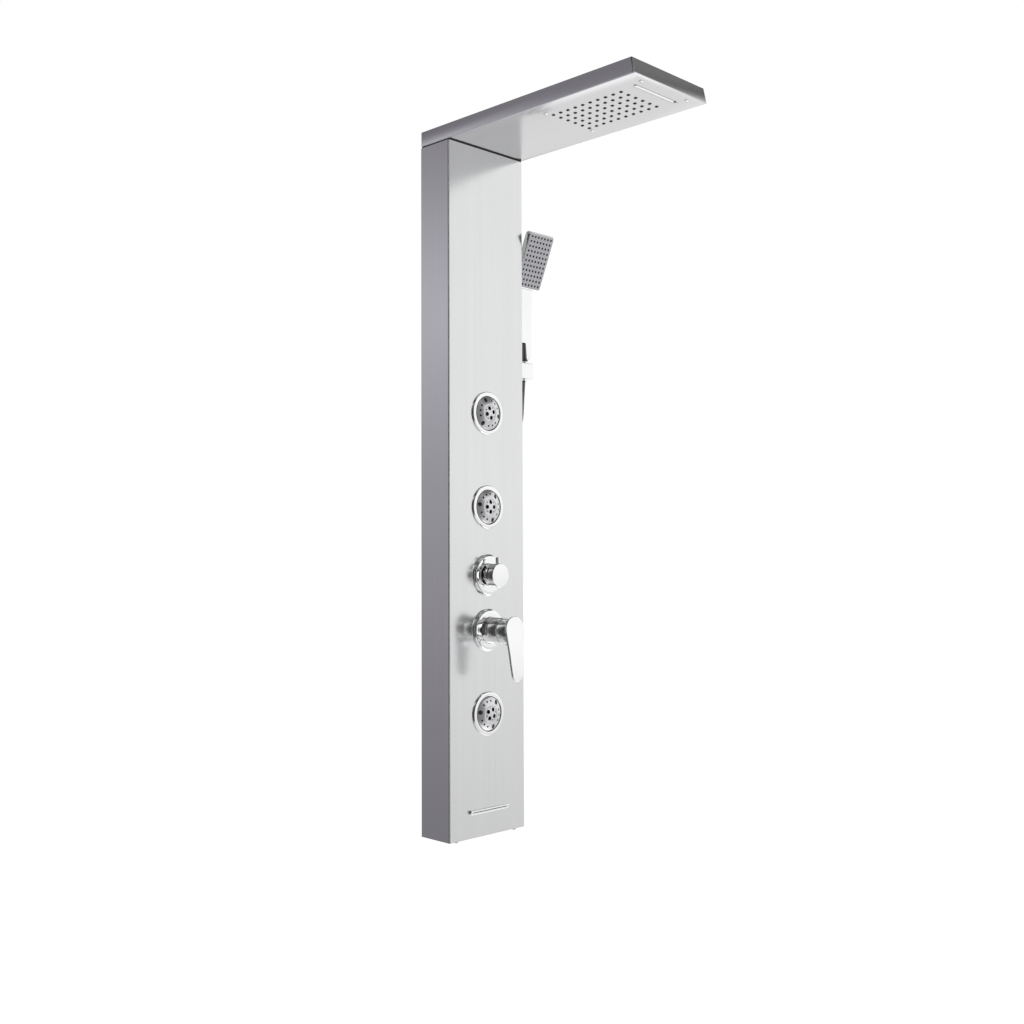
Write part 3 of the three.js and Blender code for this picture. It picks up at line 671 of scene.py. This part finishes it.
for i, z in enumerate(JZ):
    n = f"jet_{i + 1}"
    fl = lathe(f"{n}_rim", [(40, 0.3), (40, 2.1, 0.6), (39.0, 3.3, 0.4), (36.0, 3.7, 0.8), (33.0, 3.6, 0.3), (32.2, 3.1, 0.2), (32.2, 0.3)], 0, z, "Y", 128, closed=True, segf=5)
    put(fl, "chrome", "column", [f"{n}_flange"])
    arc = [(32.8 * cos(radians(a)), -9 + 32.8 * sin(radians(a))) for a in range(-35, 18, 4)]
    ball = lathe(f"{n}_swivel", [(10, -27.8), (26.9, -27.8)] + arc + [(31.3, 0.9), (31.0, 1.3, 0.2), (30.3, 1.2, 0.2), (30.3, -3), (10, -3)], 0, z, "Y", 96, closed=True)
    put(ball, "jet", f"{n}_ball", [f"{n}_ball"])
    prof = [(14.1, -2.7), (29.6, -2.7), (29.6, 1.6), (30.85, 1.75), (30.85, dome(30.85) - 0.1, 0.3)] + [(r, dome(r)) for r in (29.6, 28.0, 26.4, 24.8, 23.2, 21.6, 20, 18.6, 17.4)] + [(16.2, dome(16.2), 0.3), (15.4, dome(15.4) - 0.45, 0.3), (14.1, dome(14.1) - 0.55, 0.15)]
    face = lathe(f"{n}_spray_face", prof, 0, z, "Y", 96, closed=True, angle=28)
    cuts, liners = [], []
    for g in range(3):
        for d in (-24, 0, 24):
            x, zz = at(23.7, LOBES[i] + 60 + 120 * g + d, z)
            cuts.append(cyl("h", "Y", 1.95, 3.4, 14, x, zz, 20))
    face = boolean(face, [join("hh", cuts)], angle=28)
    put(face, "jet", f"{n}_spray", [f"{n}_face_ring"])
    # near-black inserts in the holes, painted shade of the bores, and the three finger grips
    ins = []
    for g in range(3):
        for d in (-24, 0, 24):
            x, zz = at(23.7, LOBES[i] + 60 + 120 * g + d, z)
            hh = dome(23.7)
            ins.append(lathe("s", [(0, 3.5), (1.9, 3.5), (1.9, hh - 0.5), (1.45, hh - 0.15, 0.1), (0.9, hh - 0.5), (0.9, 3.9), (0, 3.9)], x, zz, "Y", 16))
    grips = []
    for g in range(3):
        a = radians(LOBES[i] + 120 * g)
        ca, sa = cos(a), sin(a)
        vs, fs = [], []
        NU, NV = 20, 6
        for v in range(NV + 1):
            e = (v / NV) * pi / 2
            for u in range(NU):
                q = 2 * pi * u / NU
                rr = 25.4 + 4.6 * cos(q) * cos(e)
                tt = 4.0 * sin(q) * cos(e)
                hh = dome(rr) - 0.25 + 0.85 * sin(e)
                vs.append((rr * sa + tt * ca, F - hh, z + rr * ca - tt * sa))
        for v in range(NV):
            for u in range(NU):
                u2 = (u + 1) % NU
                fs.append((v * NU + u, v * NU + u2, (v + 1) * NU + u2, (v + 1) * NU + u))
        fs.append(tuple(range(NU)))
        grips.append(obj_from("g", vs, fs, 50))
    put(join(f"{n}_finger_grips", grips, 50), "grip", f"{n}_spray")
    put(join(f"{n}_spray_inserts", ins), "hole", f"{n}_spray")
    ctr = lathe(f"{n}_centre_insert", [(0, -2.7), (13.95, -2.7), (13.95, dome(13.9) - 0.75, 0.2), (13.5, dome(13.5) - 0.5, 0.2), (10, dome(10) - 0.4), (6, dome(6) - 0.3), (2.5, dome(2.5) - 0.25), (0, dome(0) - 0.25)], 0, z, "Y", 72, angle=28)
    # near-black inserts in the centre holes: painted shade of the bores
    cuts, cins = [], []
    for k in range(4):
        x, zz = at(8.9, CLUSTER[i] + 90 * k, z)
        cuts.append(cyl("h", "Y", 3.9, 3.0, 14, x, zz, 28))
        cins.append(lathe("s", [(0, 3.1), (3.8, 3.1), (3.8, 7.7), (3.4, 8.1, 0.2), (2.8, 7.3), (2.8, 3.6), (0, 3.6)], x, zz, "Y", 24))
        x, zz = at(11.4, CLUSTER[i] + 45 + 90 * k, z)
        cuts.append(cyl("h", "Y", 1.25, 4.5, 14, x, zz, 14))
        cins.append(cyl("s", "Y", 1.15, 4.6, 7.2, x, zz, 14))
    ctr = boolean(ctr, [join("hh", cuts)], angle=28)
    put(ctr, "jet", f"{n}_ball", [f"{n}_centre"])
    put(join(f"{n}_centre_nozzles", cins), "hole", f"{n}_ball")

# ---------------------------------------------------------------- diverter
z = DIV_Z
esc = lathe("diverter_rosette", [(10.3, 0.3), (38.5, 0.3), (38.5, 2.6, 0.3), (37.8, 2.9, 0.15), (37.8, 4.2, 0.6), (36.8, 5.8, 0.6), (35.0, 6.6, 0.8), (31.0, 7.1, 1.5), (10.3, 7.15)], 0, z, "Y", 128, closed=True, segf=5)
put(esc, "chrome", "column", ["diverter_escutcheon"])
put(lathe("diverter_neck", [(0, -13.5), (9.9, -13.5), (9.9, 7.45), (14, 7.45, 0.4), (14, 11.2), (0, 11.2)], 0, z, "Y", 64), "chrome", "diverter_knob", ["diverter_spindle"])
knob = lathe("diverter_handle", [(q[0], q[1] + 11.5) + tuple(q[2:]) for q in [(0, 0), (20.0, 0, 0.8), (21.9, 1.0, 0.9), (21.9, 2.6, 0.5), (20.9, 3.2, 0.2), (20.9, 3.9, 0.2), (22, 4.2, 0.3), (22, 20.7, 0.5), (21.3, 21.5, 0.3), (0, 21.5)]], 0, z, "Y", 128, segf=5)
knob = boolean(knob, [cyl("c", "Z", 2.5, z + 14, z + 30, 0, F - 25.5, 24)], angle=30)
put(knob, "chrome", "diverter_knob", ["diverter_knob"])
put(lathe("diverter_grip_pin", [(0, z + 14.3), (2.1, z + 14.3), (2.1, z + 22.2), (3.8, z + 22.5, 0.2), (3.8, z + 33, 0.6), (0, z + 33)], 0, F - 25.5, "Z", 40), "chrome", "diverter_knob", ["diverter_pin"])

# ---------------------------------------------------------------- mixer
z = MIX_Z
PV, RT, RL, SR = 34.0, 26.1, 26.6, 24.5
esc = lathe("mixer_rosette", [(24.9, 0.3), (39, 0.3), (39, 2.6, 0.3), (38.3, 2.9, 0.15), (38.3, 4.2, 0.6), (37.3, 5.8, 0.6), (35.5, 6.6, 0.8), (31.5, 7.1, 1.5), (24.9, 7.15)], 0, z, "Y", 128, closed=True, segf=5)
put(esc, "chrome", "column", ["mixer_escutcheon"])
put(lathe("mixer_collar", [(21.6, -2), (SR, -2), (SR, 17.6, 1.5), (21.6, 17.6)], 0, z, "Y", 112, closed=True), "chrome", "column", ["mixer_sleeve"])
a0 = acos(22.9 / RT)
domep = [(RT * cos(a0 + (pi / 2 - a0) * k / 12), PV + RT * sin(a0 + (pi / 2 - a0) * k / 12)) for k in range(12)]
put(lathe("mixer_turning_bonnet", [(0, 18), (22.4, 18), (22.4, 18.9, 0.1), (SR, 19.2, 0.5), (SR, 42.0, 1.5), (22.9, 42.1)] + domep[:-1] + [(6, 58.4), (6, 59), (0, 59)], 0, z, "Y", 112), "chrome", "mixer_bonnet", ["mixer_bonnet"])


def lever():
    pL = PV + sqrt(RL * RL - SR * SR)
    cav = [(RL * cos(a), PV + RL * sin(a)) for a in [asin((pL - PV) / RL) + (pi / 2 - asin((pL - PV) / RL)) * k / 10 for k in range(9)]]
    skirt = lathe("mixer_handle", [(SR, pL, 0.1), (SR, 60), (SR, 64.8), (0, 64.8), (0, 62), (7, 62), (7, cav[-1][1])] + cav[::-1][:-1] + [(SR - 0.5, pL + 0.1)], 0, z, "Y", 112, closed=True)
    # paddle outline, seen from the front
    hr, L, e = 24.2, 93.0, 13.6
    out = []
    for k in range(33):
        a = -0.22 + (pi + 0.44) * k / 32
        out.append((hr * cos(a), hr * sin(a)))
    p0 = Vector(out[-1])
    p1, p2, p3 = Vector((-20.6, -27)), Vector((-17.4, -42)), Vector((-16.4, -58))
    for k in range(1, 13):
        t = k / 12
        out.append(tuple((1 - t) ** 3 * p0 + 3 * t * (1 - t) ** 2 * p1 + 3 * t * t * (1 - t) * p2 + t ** 3 * p3))
    for k in range(17):
        a = pi + pi * k / 16
        out.append((e * cos(a), -L + e + e * sin(a)))
    for k in range(12, 0, -1):
        t = k / 12
        q = (1 - t) ** 3 * p0 + 3 * t * (1 - t) ** 2 * p1 + 3 * t * t * (1 - t) * p2 + t ** 3 * p3
        out.append((-q[0], q[1]))
    tilt = 0.074

    def lift(p, t):
        d = 64.3 + 4.3 * t
        # lean out towards the end
        y, zz = d * 1.0, p[1]
        yy = 64.2 + (d - 64.2) * cos(tilt) - zz * sin(tilt)
        z2 = zz * cos(tilt) + (d - 64.2) * sin(tilt)
        return (p[0], F - yy, z + z2 + 3.4)

    pad = prism("p", out, lift)
    bevel(pad, 1.0, 4, 40, 35)
    # web that sweeps from the skirt's underside into the back of the paddle
    R = 13.0
    web = []
    prof = [(66.2, -20.0), (52.0, -20.0), (52.0, -24.3)]
    for k in range(11):
        a = radians(90 * k / 10)
        prof.append((53.4 + R * sin(a), -24.3 - R + R * cos(a)))
    prof.append((67.6, -24.3 - R))
    wo = prism("w", prof, lambda p, t: (-9.5 + 19 * t, F - p[0], z + p[1]))
    bevel(wo, 1.6, 3, 50, 35)
    boolean(skirt, [pad, wo], "UNION", 32)
    # side facets between the round skirt and the flat head
    for sx in (-1, 1):
        vs = [(sx * 22.6, F - 66.5, z + 9), (sx * 19.4, F - 66.5, z - 21), (sx * 24.35, F - 50.5, z - 2.2),
              (sx * 18.0, F - 66.5, z + 7), (sx * 14.5, F - 66.5, z - 18), (sx * 20.5, F - 52, z - 2.2), (sx * 24.6, F - 65.0, z - 3)]
        f = obj_from("f", vs, [(0, 6, 2), (6, 1, 2), (0, 3, 4, 1, 6), (0, 2, 5, 3), (1, 4, 5, 2), (3, 5, 4)], 20)
        boolean(skirt, [f], "UNION", 32)
    skirt = boolean(skirt, [cyl("c", "Z", 2.6, z - 30, z - 21.5, 0, F - 57, 24)], angle=32)
    return skirt


put(lever(), "chrome", "mixer_lever", ["mixer_lever"])
gs = lathe("mixer_grub", [(0, z - 23.4), (1.0, z - 23.4), (1.0, z - 24.6), (2.2, z - 24.6, 0.3), (2.2, z - 21.9), (0, z - 21.9)], 0, F - 57, "Z", 24)
put(gs, "hole", "mixer_lever", ["mixer_grub_screw"])

# ---------------------------------------------------------------- tub spout
z = SPOUT_Z


bz = loft("spout_frame", [[(u, F - p, z + v) for u, v in rrect(w, h, rr, 12)] for w, h, rr, p in (
    (102, 8, 3.9, 0.3), (102, 8, 3.9, 4.3), (101.7, 7.7, 3.75, 4.9), (101, 7, 3.4, 5.3), (100, 6, 2.9, 5.5), (91, 1.3, 0.6, 5.45), (90, 0.9, 0.42, 5.0), (90, 0.9, 0.42, 0.3))])
put(bz, "chrome", "column", ["spout_bezel"])


# ---------------------------------------------------------------- pipes
def pipe(name, pts, r, mat, node):
    ln = resample(catmull(pts, 14), 5.0)
    put(sweep(name, ln, lambda i, s: r, 20), mat, "column", [node])


pipe("riser_tube", [(0, F + 27, MIX_Z + 24.4), (0, F + 27, 430), (0, F + 27, DIV_Z - 19.4)], 7, "brass", "riser_pipe")
pipe("jet_feed_tube", [(0, -21.5, 200), (0, -21.5, 500), (0, -21.5, 806)], 6, "zinc", "jet_manifold_pipe")
pipe("spout_feed_tube", [(26, F + 27, DIV_Z - 16.2), (26, F + 28, DIV_Z - 24), (27, -24, DIV_Z - 48), (28, -22, DIV_Z - 70), (28, -22, 300), (28, -22, 90), (28, -25, 66), (28, -33, 51), (28, -42, SPOUT_Z), (28, F + 24.4, SPOUT_Z)], 4.6, "zinc", "spout_feed_pipe")
pipe("rain_feed_tube", [(-26, F + 30, DIV_Z + 16.2), (-26, F + 31, DIV_Z + 22), (-26, -24, DIV_Z + 52), (-26, -22, DIV_Z + 75), (-26, -22, 900), (-26, -22, 1255), (-26, -27, 1274), (-26, -42, 1282.3), (-26, -70, 1282.8), (-26, -200, 1282.8), (-26, F - 189.5, 1282.8)], 5, "zinc", "rain_feed_pipe")
pipe("waterfall_feed_tube", [(26, F + 30, DIV_Z + 16.2), (26, F + 31, DIV_Z + 22), (26, -24, DIV_Z + 52), (26, -22, DIV_Z + 75), (26, -22, 900), (26, -22, 1255), (26, -27, 1274), (27, -42, 1282.3), (34, -72, 1282.8), (60, -130, 1282.8), (65, -165, 1282.8), (65, F - 189.5, 1282.8)], 5, "zinc", "waterfall_feed_pipe")
pipe("handset_feed_tube", [(-38.4, F + 25, DIV_Z), (-46, F + 25, DIV_Z), (-70, F + 27, DIV_Z + 6), (-82, F + 32, DIV_Z + 30), (-82, -26, DIV_Z + 88), (-82, -24, DIV_Z + 126), (-78, -24, DIV_Z + 148), (-68, -24, DIV_Z + 158), (-58, -24, DIV_Z + 155), (-54, -24, DIV_Z + 146)], 5, "zinc", "handset_outlet_pipe")

# ---------------------------------------------------------------- holder and hand shower
X, Y = HOLD_X, HOLD_Y
hb = box("holder_body", W / 2 + 0.3, X + 15.3, Y - 15, Y + 15, HOLD_Z - 15, HOLD_Z + 15)
bevel(hb, 1.1, 4)
hb = boolean(hb, [lathe("c", [(0, HOLD_Z - 17), (10.1, HOLD_Z - 17), (12.5, HOLD_Z + 17), (0, HOLD_Z + 17)], X, Y, "Z", 64)], angle=32)
put(hb, "chrome", "column", ["holder_block"])
nut = lathe("hose_cone", [(7.4, HOLD_Z - 19), (9.6, HOLD_Z - 19, 0.5), (9.7, HOLD_Z - 16), (12.0, HOLD_Z + 15.5, 0.4), (12.0, HOLD_Z + 18.6, 0.4), (10.8, HOLD_Z + 20, 0.3), (7.4, HOLD_Z + 20)], X, Y, "Z", 64, closed=True)
put(nut, "chrome", "hose_nut", ["hose_cone_nut"])

zB = HOLD_Z + 20.4
TH = radians(22)


def on_face(u, v, d):
    """u across, v up the face, d out of the face plane"""
    y0, z0 = -d, v
    y1 = y0 * cos(TH) - z0 * sin(TH)
    z1 = y0 * sin(TH) + z0 * cos(TH)
    return (X + u, Y - 35.3 + y1, zB + 190.8 + z1)


def hand_body():
    headp = prism("hand_shower_body", rrect(70, 108, 6.5, 8), lambda p, t: on_face(p[0], p[1], -12.6 + 12.8 * t))
    bevel(headp, 1.6, 4)
    pocket = prism("c", rrect(66.6, 104.6, 5, 8), lambda p, t: on_face(p[0], p[1], -4.2 + 6 * t))
    # handle: flat section swept from the neck to the back of the head
    secs = [(-0.2, 3.6, 12.0, 4.3), (-0.1, 5.0, 18.5, 4.4), (-0.1, 9.0, 23.3, 4.5), (-0.2, 16, 24, 4.5), (-0.4, 40, 24, 4.4), (-1.0, 80, 24, 4.4), (-2.4, 115, 24, 4.6), (-5.6, 140, 24, 4.0), (-9.6, 157, 24, 2.2)]
    sides, vs, fs = 40, [], []
    for (dy, dz, hw, ht) in secs:
        for k in range(sides):
            a = 2 * pi * k / sides
            c, s = cos(a), sin(a)
            ex = 0.28
            u = hw * (abs(c) ** ex) * (1 if c >= 0 else -1)
            v = ht * (abs(s) ** 0.5) * (1 if s >= 0 else -1)
            vs.append((X + u, Y + dy + v, zB + dz))
    for i in range(len(secs) - 1):
        for k in range(sides):
            k2 = (k + 1) % sides
            fs.append((i * sides + k, i * sides + k2, (i + 1) * sides + k2, (i + 1) * sides + k))
    fs.append(tuple(range(sides))[::-1])
    fs.append(tuple((len(secs) - 1) * sides + k for k in range(sides)))
    handle = obj_from("h", vs, fs, 50)
    # neck kept as its own piece with the near-black finish: painted dark reflection on a chrome part
    boss = lathe("b", [(0, zB - 0.0), (9.4, zB, 0.4), (9.4, zB + 1.6, 0.4), (8.2, zB + 2.2, 0.2), (8.2, zB + 3.2, 0.3), (7.4, zB + 4.4, 0.4), (5.7, zB + 33, 0.6), (4.8, zB + 35.6, 0.5), (0, zB + 36)], X, Y - 3, "Z", 56)
    boss.name = "hand_shower_neck"
    put(boss, "painted_dark_reflection_chrome", "hand_shower")
    o = boolean(headp, [handle], "UNION", 32)
    return boolean(o, [pocket], angle=32)


put(hand_body(), "chrome", "hand_shower", ["handset_body"])
plate = prism("hand_shower_face", rrect(66.0, 104.0, 4.6, 8), lambda p, t: on_face(p[0], p[1], -1.3 + 1.6 * t))
bevel(plate, 0.5, 3)
holes = []
for i in range(7):
    for j in range(11):
        u, v = (i - 3) * 9.0, (j - 5) * 9.25
        holes.append(prism("h", [(2.35 * cos(2 * pi * k / 14), 2.35 * sin(2 * pi * k / 14)) for k in range(14)], lambda p, t, u=u, v=v: on_face(u + p[0], v + p[1], -3 + 6 * t)))
plate = boolean(plate, [join("hh", holes)], angle=32)
put(plate, "hand", "hand_shower", ["handset_face_plate"])
noz = [prism("m", rrect(64, 102, 4, 6), lambda p, t: on_face(p[0], p[1], -4.0 + 2.4 * t))]
for i in range(7):
    for j in range(11):
        u, v = (i - 3) * 9.0, (j - 5) * 9.25
        ring = lambda r, d: [on_face(u + r * cos(2 * pi * k / 14), v + r * sin(2 * pi * k / 14), d) for k in range(14)]
        vs = ring(2.2, -1.7) + ring(2.2, 0.5) + ring(1.8, 0.9) + ring(0.7, 0.9) + ring(0.7, -0.2)
        fs = [(a * 14 + k, a * 14 + (k + 1) % 14, (a + 1) * 14 + (k + 1) % 14, (a + 1) * 14 + k) for a in range(4) for k in range(14)]
        fs += [tuple(range(14))[::-1], tuple(56 + k for k in range(14))]
        noz.append(obj_from("n", vs, fs, 40))
put(join("hand_shower_nozzles", noz), "silicone", "hand_shower", ["handset_nozzle_mat"])

gr = lathe("wall_grommet", [(9.9, -3.4), (11.0, -3.4), (11.0, 0.3), (14, 0.3), (14, 2.4, 0.8), (12.6, 3.0, 0.6), (9.9, 3.0, 0.5)], 0, 0, "Y", 56, closed=True)
for v in gr.data.vertices:
    c = Vector(v.co)
    # turn the grommet's axis from -Y at the front face to +X at the side wall
    h = -(c.y * 1000.0) + F
    rx, rz = c.x * 1000.0, c.z * 1000.0 + OZ
    p = M((W / 2 + h, -25.1 + rx, 732.5 + rz))
    v.co = p
gr.data.flip_normals()
put(gr, "silicone", "column", ["hose_grommet"])

# ---------------------------------------------------------------- finishes on carried-over nodes
KEEP = {
    "bottom_cap": "column", "wall_bracket_upper": "zinc", "wall_bracket_lower": "zinc", "hanger_bar_upper": "zinc", "hanger_bar_lower": "zinc",
    "rain_chamber": "white", "diverter_valve_body": "brass", "mixer_valve_body": "brass", "mixer_cartridge": "white", "spout_body": "dark",
    "hose_union_nut": "brass", "jet_1_housing": "dark", "jet_2_housing": "dark", "jet_3_housing": "dark",
}
for node, mat in KEEP.items():
    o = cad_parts[node]
    if len(o.material_slots) == 0:
        o.data.materials.append(MAT[mat])
    for sl in o.material_slots:
        sl.material = MAT[mat]

# ---------------------------------------------------------------- floor, world and lights
fl = bpy.data.meshes.new("floor")
fl.from_pydata([(-30, -30, -1.95), (30, -30, -1.95), (30, 30, -1.95), (-30, 30, -1.95)], [], [(0, 1, 2, 3)])
floor = bpy.data.objects.new("floor", fl)
bpy.context.scene.collection.objects.link(floor)
fm, nt, b = new_mat("pale_floor")
b.inputs["Base Color"].default_value = (0.9, 0.9, 0.9, 1)
b.inputs["Roughness"].default_value = 0.9
b.inputs["Emission Color"].default_value = (1, 1, 1, 1)
b.inputs["Emission Strength"].default_value = 0.75
fl.materials.append(fm)
floor.visible_glossy = False

world = bpy.data.worlds.new("studio")
bpy.context.scene.world = world
world.use_nodes = True
nt = world.node_tree
bg = nt.nodes["Background"]
tc = nd(nt, "ShaderNodeTexCoord")
sx = nd(nt, "ShaderNodeSeparateXYZ")
nt.links.new(tc.outputs["Generated"], sx.inputs[0])


def math2(op, a, b=None, c=None):
    n = nd(nt, "ShaderNodeMath", operation=op)
    for i, v in enumerate((a, b, c)):
        if v is None:
            continue
        if isinstance(v, (int, float)):
            n.inputs[i].default_value = v
        else:
            nt.links.new(v, n.inputs[i])
    return n.outputs[0]


neg_y = math2("MULTIPLY", sx.outputs["Y"], -1.0)
az = math2("MULTIPLY", math2("ARCTAN2", sx.outputs["X"], neg_y), 180 / pi)     # 0 = front (-Y), +90 = right (+X)
el = math2("MULTIPLY", math2("ARCSINE", sx.outputs["Z"]), 180 / pi)


def ramp(v, a, b):
    n = nd(nt, "ShaderNodeMapRange")
    n.interpolation_type = "SMOOTHSTEP"
    n.inputs["From Min"].default_value = a
    n.inputs["From Max"].default_value = b
    nt.links.new(v, n.inputs["Value"])
    return n.outputs["Result"]


def window(v, a, b, soft):
    up = ramp(v, a - soft, a + soft)
    dn = math2("SUBTRACT", 1.0, ramp(v, b - soft, b + soft))
    return math2("MULTIPLY", up, dn)


def turned(c):
    """azimuth measured from c, wrapped to -180..180"""
    d = math2("SUBTRACT", az, c)
    return math2("WRAP", d, 180.0, -180.0)


def panel(c, half, e0, e1, soft_a, soft_e, power):
    return math2("MULTIPLY", math2("MULTIPLY", window(turned(c), -half, half, soft_a), window(el, e0, e1, soft_e)), power)


def slope(e0, v0, e1, v1):
    """brightness that changes evenly with height, clamped outside e0..e1"""
    n = nd(nt, "ShaderNodeMapRange")
    n.inputs["From Min"].default_value = e0
    n.inputs["From Max"].default_value = e1
    n.inputs["To Min"].default_value = v0
    n.inputs["To Max"].default_value = v1
    nt.links.new(el, n.inputs["Value"])
    return n.outputs["Result"]


left = panel(-133, 27, -75, 75, 12, 8, math2("SUBTRACT", slope(-13, 0.23, 2, 0.40), slope(14, 0.0, 21, 0.17)))
total = None
for p in [
    panel(70, 46, -75, 26, 8, 3, slope(-14, 0.79, 1, 1.05)),    # big soft box, right front
    panel(6, 20, -45, 45, 8, 8, 0.26),                          # its dim edge
    panel(-68, 18, -75, 60, 8, 8, 0.07),                        # weak fill from the left
    panel(-31, 6, -28, 38, 3, 8, 1.5),                          # narrow strip, left front
    panel(146, 32, -40, -3, 8, 3, 0.93),                        # pale floor behind, to the right
    panel(146, 32, 3, 60, 10, 4, 0.5),                          # pale wall behind, to the right
    left,                                                       # dim side, left back
    panel(-133, 27, 8, 14, 12, 4, 0.30),                        # brighter patch on it
    panel(0, 180, 66, 90, 1, 8, 0.40),                          # overhead
    panel(54, 70, 30, 64, 10, 4, 0.20),                         # above the soft box
    panel(0, 180, -90, -34, 1, 7, 0.75),                        # floor all round
]:
    total = p if total is None else math2("ADD", total, p)
total = math2("ADD", total, 0.018)
lp = nd(nt, "ShaderNodeLightPath")
mx = nd(nt, "ShaderNodeMix")
mx.data_type = "FLOAT"
nt.links.new(lp.outputs["Is Camera Ray"], mx.inputs["Factor"])
nt.links.new(total, mx.inputs["A"])
mx.inputs["B"].default_value = 1.0
nt.links.new(mx.outputs["Result"], bg.inputs["Strength"])
tint = nd(nt, "ShaderNodeMix")
tint.data_type = "RGBA"
tint.inputs["A"].default_value = (1, 1, 1, 1)
tint.inputs["B"].default_value = (0.985, 0.955, 1.045, 1)
cam_no = math2("SUBTRACT", 1.0, lp.outputs["Is Camera Ray"])
nt.links.new(math2("MULTIPLY", window(turned(-133), -60, 60, 20), cam_no), tint.inputs["Factor"])
nt.links.new(tint.outputs["Result"], bg.inputs["Color"])
bpy.context.scene.view_settings.view_transform = "Standard"
bpy.context.scene.view_settings.look = "None"
